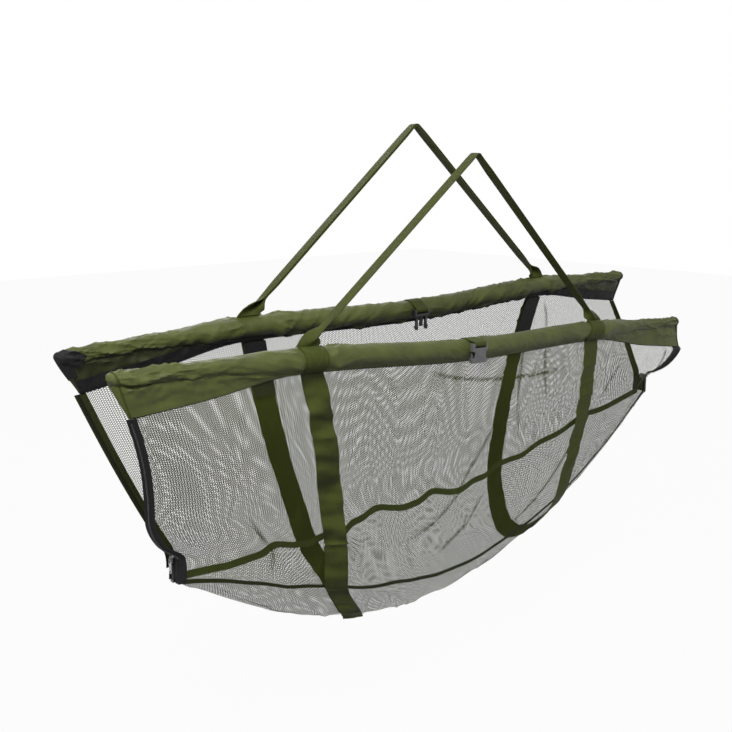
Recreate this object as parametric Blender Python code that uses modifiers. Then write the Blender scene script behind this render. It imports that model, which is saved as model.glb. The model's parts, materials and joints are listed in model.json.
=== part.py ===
"""Weigh sling: two sleeved poles, a net bag between them, lifting straps and handles.

Frame: +X runs along the poles to the right, +Y from the front pole to the back pole, +Z up.
The origin is the point that the sling hangs from, midway between the tops of its two handles.
"""
import math

import bmesh
import bpy
from mathutils import Matrix, Vector

FRONT, BACK = -1, 1
LEFT, RIGHT = -1, 1
side_names = {FRONT: "front", BACK: "back"}
end_names = {LEFT: "left", RIGHT: "right"}

# Clearance between pieces that touch, and how far a cutter runs past what it cuts
fit_gap = 0.0003
cut_overrun = 0.002

# How near two points are welded where a shape closes on itself
weld_distance = 0.00001

# How the sling hangs: handle tops, pole spacing, and the tilt of each pole
handle_height = 0.280
hook_step = 0.046
mouth_gap = 0.130
front_end_rise = -0.0325
back_end_rise = 0.0048

# Poles, caps and floats
pole_length = 1.200
pole_radius = 0.005
pole_sag = 0.009
front_pole_droop = 0.001
back_pole_droop = 0.006
cap_radius = 0.0065
cap_length = 0.022
cap_end_wall = 0.002
cap_proud = 0.002
float_length = 0.580
float_radius = 0.013
float_clearance = 0.0006

# Sleeves: a roll round the pole and float, with a sewn fin that widens towards the ends
sleeve_wall = 0.0009
sleeve_height = 0.033
sleeve_end_height = 0.055
sleeve_flare_start = 0.360
fin_half_thickness = 0.0015
end_slant_share = 0.4

# Webbing straps and handles
strap_width = 0.038
strap_thickness = 0.0016
strap_spacing = 0.632
strap_seam_spacing_front = 0.512
strap_seam_spacing_back = 0.452
strap_keel_spacing = 0.380
grip_width = 0.016
grip_top_width = 0.013
grip_thickness = 0.0032
grip_bend_radius = 0.005
grip_flat_length = 0.002
foot_twist_length = 0.040

# The bands over the sleeves stand a little clear of the roll's facets, and end above the fin's edge
band_fullness_share = 1.08
band_low_share = 0.3

# Net bag: where its three panels end and how full they hang
net_thickness = 0.0015
sewn_gap = 0.0005
net_top_gap = 0.0008
seam_gap = 0.0020
zip_end_inset = 0.055
zip_end_shift = 0.062
zip_end_depth = 0.2535
zip_end_rise = 0.0435
zip_left_y = 0.020
zip_right_y = 0.005
bottom_end_width = 0.020
front_seam_y = -0.055
back_seam_y = 0.070
front_seam_sag = 0.135
back_seam_sag = 0.068
keel_y = 0.000
keel_sag = 0.179
panel_belly = 0.012
front_left_bulge = 0.024
front_right_bulge = 0.014
back_left_bulge = 0.003
back_right_bulge = 0.004

# How the sags lean to the right and how far down each end's bulge is, as shares,
# and the powers of their curves
front_sag_lean_share = -0.15
back_sag_lean_share = 0.15
keel_lean_share = -0.33
bulge_place_shares = {"front_left": 0.76, "front_right": 0.45, "back_left": 0.5, "back_right": 0.5}
front_sag_power = 1.5
back_sag_power = 1.0
keel_power = 1.1
seam_y_power = 3.0
bottom_fullness_power = 0.95

# Rows of the panels, as shares of their depth, and segments between the sewn lines
panel_row_shares = (0.0, 0.14, 0.28, 0.42, 0.56, 0.70, 0.83, 1.0)
chain_row = 6
bottom_row_count = 6
column_counts = (1, 4, 1, 12, 1, 5, 1)

# Seam bindings and zips
binding_half_width = 0.004
binding_thickness = 0.0012
tape_width = 0.012
tape_thickness = 0.0012
coil_radius = 0.0012
coil_top_clearance = 0.003
coil_place_share = 0.2
zip_closed_length = 0.036
zip_closed_lean_share = 0.0
chain_bead_width = 0.005
chain_bead_height = 0.0012
stop_width = 0.006
stop_height = 0.0016
stop_length = 0.004
slider_width = 0.008
slider_length = 0.009
slider_plate = 0.0010
slider_post_length = 0.002
bail_radius = 0.0006
bail_rise = 0.0032
bail_length = 0.0055
pull_length = 0.020
pull_width = 0.006
pull_thickness = 0.0011
pull_eye_length = 0.0042
pull_eye_width = 0.0034
pull_end_hole_radius = 0.0018
pull_waist_share = 0.8
pull_waist_place_share = 0.6

# Side-release buckle and its webbing tabs
tab_width = 0.025
tab_thickness = 0.0016
tab_start_angle = -35.0
tab_loop_sweep = 272.0
buckle_hang_gap = 0.0006
socket_x = -0.005
socket_bar_up = 0.0085
plug_x = 0.000
plug_bar_up = 0.0
buckle_width = 0.032
buckle_thickness = 0.009
bar_size = 0.0034
bar_slot = 0.0038
cheek_width = 0.0030
socket_length = 0.030
socket_wall = 0.0018
socket_mouth_depth = 0.019
socket_waist = 0.0035
socket_waist_length = 0.010
plug_body_length = 0.012
guide_width = 0.005
guide_length = 0.016
arm_length = 0.021
arm_width = 0.0038
arm_hook = 0.0022
arm_hook_length = 0.007
prong_thickness = 0.0045

# Sizes that follow from the ones above
half_length = pole_length / 2
roll_inner_radius = float_radius + float_clearance
roll_radius_middle = roll_inner_radius + sleeve_wall
roll_radius_end = (cap_radius + fit_gap) / math.cos(math.radians(15)) + sleeve_wall
end_rises = {FRONT: front_end_rise, BACK: back_end_rise}
pole_droops = {FRONT: front_pole_droop, BACK: back_pole_droop}
apex_heights = {FRONT: -hook_step / 2, BACK: hook_step / 2}
zip_end_spacing = pole_length - 2 * zip_end_inset
zip_end_z = -handle_height - zip_end_depth
zip_line_y = {LEFT: zip_left_y, RIGHT: zip_right_y}
bar_out = roll_radius_middle + buckle_hang_gap + buckle_thickness / 2


def clamp(value):
    return min(1.0, max(0.0, value))


def mix(a, b, share):
    return a + (b - a) * share


def smooth(share):
    share = clamp(share)
    return share * share * (3 - 2 * share)


def spread(anchors, counts):
    """Values at each anchor, with equal steps between neighbours."""
    values = [anchors[0]]
    for a, b, count in zip(anchors, anchors[1:], counts):
        values += [mix(a, b, (k + 1) / count) for k in range(count)]
    return values


# Scene, collections and materials


def clear_scene():
    for obj in list(bpy.data.objects):
        bpy.data.objects.remove(obj, do_unlink=True)


def make_collection(name):
    collection = bpy.data.collections.new(name)
    bpy.context.scene.collection.children.link(collection)
    return collection


clear_scene()
sling_collection = make_collection("weigh_sling")
cutter_collection = make_collection("cutters")


def make_material(name, color, roughness, metallic=0.0):
    material = bpy.data.materials.new(name)
    material.use_nodes = True
    shader = material.node_tree.nodes["Principled BSDF"]
    shader.inputs["Base Color"].default_value = (*color, 1.0)
    shader.inputs["Roughness"].default_value = roughness
    shader.inputs["Metallic"].default_value = metallic
    return material


olive_nylon = (0.085, 0.100, 0.030)
olive_webbing = (0.055, 0.070, 0.018)
black_mesh = (0.012, 0.012, 0.013)
black_tape = (0.014, 0.014, 0.015)
black_plastic = (0.018, 0.018, 0.019)
gunmetal = (0.23, 0.23, 0.24)
glass_fibre = (0.06, 0.06, 0.055)
grey_foam = (0.16, 0.16, 0.16)


def finish_object(obj, color, roughness, metallic=0.0, parent=None, collection=None):
    """Links an object, gives it its own material and hangs it on its parent."""
    (collection or sling_collection).objects.link(obj)
    obj.data.materials.append(make_material(obj.name, color, roughness, metallic))
    obj.parent = parent
    return obj


def shade_round(mesh, angle=40.0):
    mesh.shade_smooth()
    mesh.set_sharp_from_angle(angle=math.radians(angle))


def mesh_object(name, bm, origin=Vector((0, 0, 0))):
    """Makes an object from a bmesh, with its origin moved to the given point."""
    bmesh.ops.translate(bm, verts=bm.verts, vec=-Vector(origin))
    mesh = bpy.data.meshes.new(name)
    bm.to_mesh(mesh)
    bm.free()
    shade_round(mesh)
    obj = bpy.data.objects.new(name, mesh)
    obj.location = origin
    return obj


def empty(name, matrix, parent=None):
    obj = bpy.data.objects.new(name, None)
    sling_collection.objects.link(obj)
    obj.parent = parent
    obj.matrix_basis = matrix
    return obj


# Shapes


def sheet(name, rows, thickness, origin=Vector((0, 0, 0))):
    """A bent sheet through rows of points, thickened evenly to both sides."""
    bm = bmesh.new()
    row_steps = len(rows) - 1
    column_steps = len(rows[0]) - 1
    bmesh.ops.create_grid(bm, x_segments=column_steps, y_segments=row_steps, size=1.0)
    for vert in bm.verts:
        column = round((vert.co.x + 1) / 2 * column_steps)
        row = round((vert.co.y + 1) / 2 * row_steps)
        vert.co = rows[row][column]
    bmesh.ops.triangulate(bm, faces=bm.faces, quad_method="FIXED")
    obj = mesh_object(name, bm, origin)
    solid = obj.modifiers.new("thickness", "SOLIDIFY")
    solid.thickness = thickness
    solid.offset = 0.0
    solid.use_even_offset = True
    solid.use_quality_normals = True
    return obj


def loft(name, loops, inner_loops=None, origin=Vector((0, 0, 0))):
    """A solid through closed loops, with flat ends, or a tube when inner loops are given."""
    bm = bmesh.new()
    outer = [[bm.verts.new(point) for point in loop] for loop in loops]
    inner = [[bm.verts.new(point) for point in loop] for loop in inner_loops or []]
    count = len(loops[0])
    for skin in (outer, inner):
        for a, b in zip(skin, skin[1:]):
            for k in range(count):
                n = (k + 1) % count
                bm.faces.new((a[k], a[n], b[n], b[k]))
    if inner:
        for end in (0, -1):
            for k in range(count):
                n = (k + 1) % count
                bm.faces.new((outer[end][k], outer[end][n], inner[end][n], inner[end][k]))
    else:
        bm.faces.new(outer[0])
        bm.faces.new(outer[-1])
    bmesh.ops.recalc_face_normals(bm, faces=bm.faces)
    return mesh_object(name, bm, origin)


def rod(name, points, radius, origin=Vector((0, 0, 0))):
    """A round rod along a run of points, with filled ends."""
    curve = bpy.data.curves.new(name, "CURVE")
    curve.dimensions = "3D"
    curve.bevel_depth = radius
    curve.bevel_resolution = 2
    curve.use_fill_caps = True
    spline = curve.splines.new("POLY")
    spline.points.add(len(points) - 1)
    for spline_point, point in zip(spline.points, points):
        spline_point.co = (*(Vector(point) - Vector(origin)), 1.0)
    obj = bpy.data.objects.new(name, curve)
    obj.location = origin
    return obj


def outline(name, points, thickness, holes=()):
    """A flat plate in its own XY plane, from an outline and round holes (x, y, radius)."""
    curve = bpy.data.curves.new(name, "CURVE")
    curve.dimensions = "2D"
    curve.fill_mode = "BOTH"
    curve.extrude = thickness / 2
    loops = [points]
    for x, y, radius in holes:
        angles = [math.tau * k / 12 for k in range(12)]
        loops.append([(x + radius * math.cos(a), y + radius * math.sin(a)) for a in angles])
    for loop in loops:
        spline = curve.splines.new("POLY")
        spline.points.add(len(loop) - 1)
        for spline_point, (x, y) in zip(spline.points, loop):
            spline_point.co = (x, y, 0.0, 1.0)
        spline.use_cyclic_u = True
    return bpy.data.objects.new(name, curve)


def box_mesh(size, center):
    bm = bmesh.new()
    bmesh.ops.create_cube(bm, size=1.0)
    for vert in bm.verts:
        vert.co = Vector(center) + Vector(c * s for c, s in zip(vert.co, size))
    return bm


def box(name, size, center):
    obj = mesh_object(name, box_mesh(size, center))
    obj.data.shade_flat()
    return obj


def cut_box(target, name, size, center, parent):
    """Cuts a box out of a piece that hangs on the same parent."""
    cutter = box(name, size, center)
    cutter_collection.objects.link(cutter)
    cutter.parent = parent
    cutter.hide_render = True
    cutter.display_type = "WIRE"
    cut = target.modifiers.new(name, "BOOLEAN")
    cut.operation = "DIFFERENCE"
    cut.solver = "EXACT"
    cut.object = cutter


# Rails: each pole with its sleeve has a frame whose X axis is the straight line of the pole


def rail_matrix(side):
    angle = math.asin(end_rises[side] / half_length)
    place = Matrix.Translation((0, side * mouth_gap / 2, apex_heights[side] - handle_height))
    return place @ Matrix.Rotation(-angle, 4, "Y")


def pole_bend(side, x):
    """How far the pole's axis leaves its straight line, sagging between the straps."""
    strap_x = strap_spacing / 2
    if abs(x) < strap_x:
        return -pole_sag * math.cos(math.pi / 2 * x / strap_x) ** 2
    return -pole_droops[side] * ((abs(x) - strap_x) / (half_length - strap_x)) ** 2


def flare(share):
    return clamp((abs(share) * half_length - sleeve_flare_start) / (half_length - sleeve_flare_start))


def roll_radius(share):
    return mix(roll_radius_middle, roll_radius_end, smooth(flare(share) * 1.6))


def sleeve_depth(share):
    return mix(sleeve_height, sleeve_end_height, flare(share))


def sleeve_point(side, share, offset, up):
    """A point of the sleeve in its rail's frame, at a height above the pole's axis."""
    radius = roll_radius(share)
    middle = share * (half_length - end_slant_share * radius)
    x = share * (half_length - end_slant_share * (radius - up))
    return Vector((x, offset, pole_bend(side, middle) + up))


arc_angles = [math.radians(-150 + 30 * k) for k in range(11)]
band_angles = (150, 120, 90, 60, 30, 0)
band_angles_root = math.radians(band_angles[0])
corner_angles = [math.radians(170), math.radians(190)]


def sleeve_outer_loop(side, share):
    radius = roll_radius(share)
    tip = radius - sleeve_depth(share)
    loop = [sleeve_point(side, share, radius * math.sin(a), radius * math.cos(a)) for a in arc_angles]
    loop.append(sleeve_point(side, share, fin_half_thickness, tip))
    loop.append(sleeve_point(side, share, -fin_half_thickness, tip))
    return loop


def sleeve_inner_loop(side, share):
    radius = roll_radius(share) - sleeve_wall
    corner_radius = radius / math.cos(math.radians(10))
    loop = [sleeve_point(side, share, radius * math.sin(a), radius * math.cos(a)) for a in arc_angles]
    for a in corner_angles:
        loop.append(sleeve_point(side, share, corner_radius * math.sin(a), corner_radius * math.cos(a)))
    return loop


def sleeve_foot(side, share):
    """The middle of the sleeve's lower edge, in its rail's frame."""
    return sleeve_point(side, share, 0, roll_radius(share) - sleeve_depth(share))


def top_share(x, depth):
    return x / (half_length - end_slant_share * depth)


strap_outer_share = top_share((strap_spacing + strap_width) / 2, sleeve_height)
strap_inner_share = top_share((strap_spacing - strap_width) / 2, sleeve_height)
tape_share = 1 - top_share(tape_width, sleeve_end_height)
top_anchor_shares = (-1, -tape_share, -strap_outer_share, -strap_inner_share,
                     strap_inner_share, strap_outer_share, tape_share, 1)
top_shares = spread(top_anchor_shares, column_counts)

left_strap_column = sum(column_counts[:2])
right_strap_column = sum(column_counts[:4])
last_column = sum(column_counts)


def build_sleeve(side, rail):
    name = side_names[side] + "_sleeve"
    outer = [sleeve_outer_loop(side, share) for share in top_shares]
    inner = [sleeve_inner_loop(side, share) for share in top_shares]
    finish_object(loft(name, outer, inner), olive_nylon, 0.55, parent=rail)


def rail_axis_point(side, x):
    return Vector((x, 0, pole_bend(side, x)))


def float_stations():
    inside = [share * half_length for share in top_shares if abs(share) * half_length < float_length / 2]
    return [-float_length / 2, *inside, float_length / 2]


def ring(side, x, radius):
    center = rail_axis_point(side, x)
    angles = [math.radians(30 * k) for k in range(12)]
    return [center + Vector((0, radius * math.sin(a), radius * math.cos(a))) for a in angles]


def build_float(side, rail):
    name = side_names[side] + "_float"
    bore = (pole_radius + fit_gap) / math.cos(math.radians(15))
    outer = [ring(side, x, float_radius) for x in float_stations()]
    inner = [ring(side, x, bore) for x in float_stations()]
    finish_object(loft(name, outer, inner), grey_foam, 0.9, parent=rail)


def build_pole(side, rail):
    name = side_names[side] + "_pole"
    end = half_length + cap_proud - cap_end_wall - fit_gap
    beyond = [mix(float_length / 2, end, (k + 1) / 4) for k in range(4)]
    stations = [-x for x in reversed(beyond)] + float_stations() + beyond
    points = [rail_axis_point(side, x) for x in stations]
    finish_object(rod(name, points, pole_radius), glass_fibre, 0.4, parent=rail)


def build_cap(side, end, rail):
    """A cup over the pole's end, turned about the pole's last stretch."""
    name = f"{side_names[side]}_{end_names[end]}_pole_cap"
    bore = (pole_radius + fit_gap) / math.cos(math.pi / 16)
    depth = cap_length - cap_end_wall
    profile = [(0, cap_end_wall), (cap_radius, cap_end_wall), (cap_radius, -depth),
               (bore, -depth), (bore, 0), (0, 0)]
    mesh = bpy.data.meshes.new(name)
    mesh.from_pydata([(x, 0, z) for x, z in profile], [(k, k + 1) for k in range(5)], [])
    obj = bpy.data.objects.new(name, mesh)
    turn = obj.modifiers.new("turn", "SCREW")
    turn.steps = 16
    turn.render_steps = 16
    turn.use_merge_vertices = True
    turn.merge_threshold = weld_distance
    turn.use_normal_calculate = False
    seat = end * (half_length + cap_proud - cap_end_wall)
    back = seat - end * cap_length
    outward = rail_axis_point(side, seat) - rail_axis_point(side, back)
    obj.location = rail_axis_point(side, seat)
    obj.rotation_mode = "QUATERNION"
    obj.rotation_quaternion = outward.to_track_quat("Z", "Y")
    finish_object(obj, black_plastic, 0.5, parent=rail)


def band_points(share, side):
    """The webbing's middle line over the sleeve's outer face, from near its fin's edge to the top."""
    radius = roll_radius(share)
    offset = fit_gap + strap_thickness / 2
    tip = Vector((fin_half_thickness, radius - sleeve_depth(share)))
    root = Vector((math.sin(band_angles_root), math.cos(band_angles_root))) * radius
    face = (tip - root).normalized()
    low = tip.lerp(root, band_low_share) + Vector((-face.y, face.x)) * offset
    points = [sleeve_point(side, share, side * low.x, low.y)]
    for degrees in band_angles:
        a = math.radians(degrees)
        reach = (radius + offset) * (band_fullness_share if degrees else 1.0)
        points.append(sleeve_point(side, share, side * reach * math.sin(a), reach * math.cos(a)))
    return points


def build_band(side, end, rail):
    name = f"{side_names[side]}_{end_names[end]}_strap_band"
    column = left_strap_column if end == LEFT else right_strap_column
    pair = [band_points(top_shares[column + k], side) for k in (0, 1)]
    rows = [[pair[0][r], pair[1][r]] for r in range(len(pair[0]))]
    finish_object(sheet(name, rows, strap_thickness), olive_webbing, 0.8, parent=rail)


# The bag is one grid of points: down the front panel, round under the bottom, up the back panel


def net_x_anchors(strap_distance):
    """Sewn lines along X at one seam: ends, tape edges and strap edges."""
    left = zip_end_shift - zip_end_spacing / 2
    right = zip_end_shift + zip_end_spacing / 2
    outer = (strap_distance + strap_width) / 2
    inner = (strap_distance - strap_width) / 2
    return (left, left + tape_width, -outer, -inner, inner, outer, right - tape_width, right)


seam_spacings = {FRONT: strap_seam_spacing_front, BACK: strap_seam_spacing_back}
seam_sags = {FRONT: (front_seam_sag, front_sag_lean_share, front_sag_power),
             BACK: (back_seam_sag, back_sag_lean_share, back_sag_power)}
seam_middles = {FRONT: front_seam_y, BACK: back_seam_y}
end_bulges = {"front_left": front_left_bulge, "front_right": front_right_bulge,
              "back_left": back_left_bulge, "back_right": back_right_bulge}


def along_share(x):
    """Where a point lies between the zip ends, from -1 at the left to 1 at the right."""
    return (x - zip_end_shift) / (zip_end_spacing / 2)


def sag_line(x, sag, lean, power):
    share = along_share(x)
    level = zip_end_z + zip_end_rise * share
    return level - sag * max(0.0, 1 - share * share) ** power * (1 + lean * share)


def end_of(share):
    return LEFT if share < 0 else RIGHT


def seam_point(side, column):
    x = spread(net_x_anchors(seam_spacings[side]), column_counts)[column]
    share = along_share(x)
    end_y = zip_line_y[end_of(share)] + side * bottom_end_width / 2
    y = mix(seam_middles[side], end_y, abs(share) ** seam_y_power)
    return Vector((x, y, sag_line(x, *seam_sags[side])))


def keel_point(column):
    x = spread(net_x_anchors(strap_keel_spacing), column_counts)[column]
    share = along_share(x)
    y = mix(keel_y, zip_line_y[end_of(share)], abs(share) ** seam_y_power)
    return Vector((x, y, sag_line(x, keel_sag, keel_lean_share, keel_power)))


def net_top_point(side, column):
    """The net's upper edge, just under the sleeve's fin."""
    foot = sleeve_foot(side, top_shares[column])
    return rail_matrix(side) @ foot - Vector((0, 0, net_top_gap))


def zip_end_point(end):
    """The bottom of the closed zip, where the seams meet it."""
    x = zip_end_shift + end * zip_end_spacing / 2
    return Vector((x, zip_line_y[end], zip_end_z + zip_end_rise * end))


def slider_point(end):
    """The top of the closed zip, where the slider stands."""
    up = Vector((end * zip_closed_lean_share, 0, 1)).normalized()
    return zip_end_point(end) + up * zip_closed_length


def end_edge_point(side, end, row):
    """The edge of a panel along its zip: open down to the slider, then closed."""
    share = panel_row_shares[row]
    closed_share = panel_row_shares[chain_row]
    across = Vector((0, side * bottom_end_width / 2, 0))
    if row >= chain_row:
        low = (share - closed_share) / (1 - closed_share)
        return slider_point(end).lerp(zip_end_point(end), low) + across
    top = net_top_point(side, 0 if end == LEFT else last_column)
    run = slider_point(end) + across - top
    name = f"{side_names[side]}_{end_names[end]}"
    power = math.log(0.5) / math.log(bulge_place_shares[name])
    outward = Vector((-run.z, 0, run.x)).normalized() * end
    bulge = end_bulges[name] * math.sin(math.pi * (share / closed_share) ** power)
    return top + run * share / closed_share + outward * bulge


def panel_point(side, column, row):
    share = panel_row_shares[row]
    end = end_of(top_shares[column])
    edge_column = 0 if end == LEFT else last_column
    chord = net_top_point(side, edge_column).lerp(seam_point(side, edge_column), share)
    at_end = abs(top_shares[column]) ** 4 if 1 < column < last_column - 1 else 1.0
    point = net_top_point(side, column).lerp(seam_point(side, column), share)
    point += (end_edge_point(side, end, row) - chord) * at_end
    point.y += side * panel_belly * math.sin(math.pi * share) * (1 - at_end)
    return point


def bottom_point(column, row):
    share = row / bottom_row_count
    front = seam_point(FRONT, column)
    back = seam_point(BACK, column)
    full = math.sin(math.pi * share) ** bottom_fullness_power if 0 < row < bottom_row_count else 0.0
    return front.lerp(back, share) + (keel_point(column) - (front + back) / 2) * full


panel_rows = len(panel_row_shares) - 1
front_seam_row = panel_rows
back_seam_row = panel_rows + bottom_row_count
last_row = back_seam_row + panel_rows


def bag_point(column, row):
    if row <= front_seam_row:
        return panel_point(FRONT, column, row)
    if row < back_seam_row:
        return bottom_point(column, row - front_seam_row)
    return panel_point(BACK, column, last_row - row)


bag_grid = [[bag_point(c, r) for c in range(last_column + 1)] for r in range(last_row + 1)]


def bag_normal(column, row):
    """The outward normal of the bag at a grid point, and how much an even offset grows there."""
    c0, c1 = max(column - 1, 0), min(column + 1, last_column)
    along = (bag_grid[row][c1] - bag_grid[row][c0]).normalized()
    here = bag_grid[row][column]
    before = (here - bag_grid[row - 1][column]).normalized() if row > 0 else None
    after = (bag_grid[row + 1][column] - here).normalized() if row < last_row else None
    before = before or after
    after = after or before
    down = (before + after).normalized()
    normal = along.cross(down).normalized()
    return -normal, 1 / max(0.5, down.dot(after))


def offset_point(column, row, distance):
    normal, growth = bag_normal(column, row)
    return bag_grid[row][column] + normal * distance * growth


def pulled_back(row, towards, column):
    """A seam row moved a little along the panel, so that two panels' edges leave a gap."""
    here = bag_grid[row][column]
    step = (bag_grid[row + towards][column] - here).normalized()
    return here + step * seam_gap / 2


def build_net_panels():
    columns = range(last_column + 1)
    front = [list(bag_grid[r]) for r in range(front_seam_row + 1)]
    front[-1] = [pulled_back(front_seam_row, -1, c) for c in columns]
    bottom = [list(bag_grid[r]) for r in range(front_seam_row, back_seam_row + 1)]
    bottom[0] = [pulled_back(front_seam_row, 1, c) for c in columns]
    bottom[-1] = [pulled_back(back_seam_row, -1, c) for c in columns]
    back = [list(bag_grid[r]) for r in range(back_seam_row, last_row + 1)]
    back[0] = [pulled_back(back_seam_row, 1, c) for c in columns]
    for name, rows in (("front_net_panel", front), ("bottom_net_panel", bottom), ("back_net_panel", back)):
        finish_object(sheet(name, rows, net_thickness), black_mesh, 0.8)


def build_binding(side, seam_row):
    """A tape folded along a seam, on the inside of the bag."""
    inward = -(net_thickness / 2 + sewn_gap + binding_thickness / 2)
    rows = []
    for towards in (-1, 0, 1):
        row = []
        for column in range(last_column + 1):
            normal, growth = bag_normal(column, seam_row)
            corner = bag_grid[seam_row][column] + normal * inward * growth
            if towards == 0:
                row.append(corner)
                continue
            step = (bag_grid[seam_row + towards][column] - bag_grid[seam_row][column]).normalized()
            row.append(corner + step * binding_half_width)
        rows.append(row)
    name = side_names[side] + "_seam_binding"
    finish_object(sheet(name, rows, binding_thickness), olive_webbing, 0.85)


def build_belly_strap(end):
    """Webbing sewn under the bag, from the front sleeve down, under and up to the back sleeve."""
    column = left_strap_column if end == LEFT else right_strap_column
    offset = net_thickness / 2 + sewn_gap + strap_thickness / 2
    rows = []
    for r in range(last_row + 1):
        rows.append([offset_point(column + k, r, offset) for k in (0, 1)])
    name = end_names[end] + "_belly_strap"
    finish_object(sheet(name, rows, strap_thickness), olive_webbing, 0.8)


# Zips


def panel_rows_of(side):
    """Grid rows of one panel, from the sleeve down to the seam."""
    if side == FRONT:
        return list(range(front_seam_row + 1))
    return list(range(last_row, back_seam_row - 1, -1))


def build_zip_tape(side, end):
    column = 0 if end == LEFT else last_column - 1
    offset = net_thickness / 2 + sewn_gap + tape_thickness / 2
    rows = [[offset_point(column + k, r, offset) for k in (0, 1)] for r in sorted(panel_rows_of(side))]
    name = f"{end_names[end]}_{side_names[side]}_zip_tape"
    finish_object(sheet(name, rows, tape_thickness), black_tape, 0.8)


def build_zip_coil(side, end):
    """The open row of zip teeth on a tape's face, from under the sleeve to the slider."""
    edge, inner = (0, 1) if end == LEFT else (last_column, last_column - 1)
    offset = net_thickness / 2 + tape_thickness + 2 * sewn_gap + coil_radius
    points = []
    for r in panel_rows_of(side)[:chain_row + 1]:
        points.append(offset_point(edge, r, offset).lerp(offset_point(inner, r, offset), coil_place_share))
    points[0] = points[0] + (points[1] - points[0]).normalized() * coil_top_clearance
    name = f"{end_names[end]}_{side_names[side]}_zip_coil"
    finish_object(rod(name, points, coil_radius), black_plastic, 0.5)


def zip_frame(end):
    """Axes of the closed zip below the slider: down the chain, across it and outwards."""
    top, foot = slider_point(end), zip_end_point(end)
    down = (foot - top).normalized()
    across = Vector((0, 1, 0))
    outward = across.cross(down) * -end
    return top, foot, down, across, outward


def zip_point(end, down_by, across_by, out_by):
    top, foot, down, across, outward = zip_frame(end)
    return top + down * down_by + across * across_by + outward * out_by


chain_level = 2 * fit_gap


def build_zip_chain(end):
    """The closed zip below the slider, a tape with its raised row of meshed teeth."""
    wide = bottom_end_width / 2
    bead = chain_bead_width / 2
    high = tape_thickness + chain_bead_height
    section = [(-wide, 0), (wide, 0), (wide, tape_thickness), (bead, tape_thickness), (bead, high),
               (-bead, high), (-bead, tape_thickness), (-wide, tape_thickness)]
    starts = (slider_post_length + fit_gap, zip_closed_length)
    loops = [[zip_point(end, s, a, chain_level + o) for a, o in section] for s in starts]
    finish_object(loft(end_names[end] + "_zip_chain", loops), black_tape, 0.7)


def build_zip_stop(end):
    """The crimped metal stop over the chain's last teeth."""
    base = chain_level + tape_thickness + chain_bead_height + fit_gap
    loops = []
    for s in (zip_closed_length - stop_length, zip_closed_length):
        loops.append([zip_point(end, s, a * stop_width / 2, base + o * stop_height)
                      for a, o in ((-1, 0), (1, 0), (1, 1), (-1, 1))])
    finish_object(loft(end_names[end] + "_zip_stop", loops), gunmetal, 0.35, 1.0)


def zip_empty(end):
    """A frame on the slider: X outwards, Y across the zip, Z up the chain."""
    top, foot, down, across, outward = zip_frame(end)
    columns = (outward, across * end, -down)
    rotation = Matrix((columns[0], columns[1], columns[2])).transposed().to_4x4()
    return empty(end_names[end] + "_zip_frame", Matrix.Translation(top) @ rotation)


def slider_heights():
    """Outward levels of the slider: its inner face, the channel's two faces and its outer face."""
    channel_in = chain_level - fit_gap
    channel_out = chain_level + tape_thickness + chain_bead_height + fit_gap
    return channel_in - slider_plate, channel_in, channel_out, channel_out + slider_plate


def bail_path():
    face = slider_heights()[3]
    low = -slider_length / 2 - bail_length / 2
    high = low + bail_length
    root = face - slider_plate / 2
    crown = face + bail_rise
    return [Vector((root, 0, low)), Vector((mix(face, crown, 0.75), 0, low)),
            Vector((crown, 0, mix(low, high, 0.2))), Vector((crown, 0, mix(low, high, 0.8))),
            Vector((mix(face, crown, 0.75), 0, high)), Vector((root, 0, high))]


def rod_mesh(name, points, radius):
    """A rod made a mesh, with its end caps welded, so that it can be joined to a block."""
    source = rod(name + "_guide", points, radius)
    sling_collection.objects.link(source)
    mesh = bpy.data.meshes.new_from_object(source.evaluated_get(bpy.context.evaluated_depsgraph_get()))
    bm = bmesh.new()
    bm.from_mesh(mesh)
    bmesh.ops.remove_doubles(bm, verts=bm.verts, dist=weld_distance)
    bpy.data.objects.remove(source, do_unlink=True)
    bpy.data.meshes.remove(mesh)
    return bm


def build_slider(end, frame):
    """Two plates over and under the chain, joined by a post at the top, with a bail on the face."""
    inner, channel_in, channel_out, face = slider_heights()
    name = end_names[end] + "_zip_slider"
    body = box(name, (face - inner, slider_width, slider_length),
               ((face + inner) / 2, 0, -slider_length / 2))
    cut_box(body, name + "_channel", (channel_out - channel_in, slider_width + cut_overrun, slider_length),
            ((channel_out + channel_in) / 2, 0, -slider_length / 2 - slider_post_length), frame)
    bail = mesh_object(name + "_bail", rod_mesh(name, bail_path(), bail_radius))
    cutter_collection.objects.link(bail)
    bail.parent = frame
    bail.hide_render = True
    bail.display_type = "WIRE"
    weld = body.modifiers.new("bail", "BOOLEAN")
    weld.operation = "UNION"
    weld.solver = "EXACT"
    weld.object = bail
    return finish_object(body, gunmetal, 0.35, 1.0, parent=frame)


def pull_axis(end):
    """Where the pull turns, on its crossbar under the bail."""
    face = slider_heights()[3]
    return Vector((face + fit_gap + pull_thickness, 0, -slider_length / 2))


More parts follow.
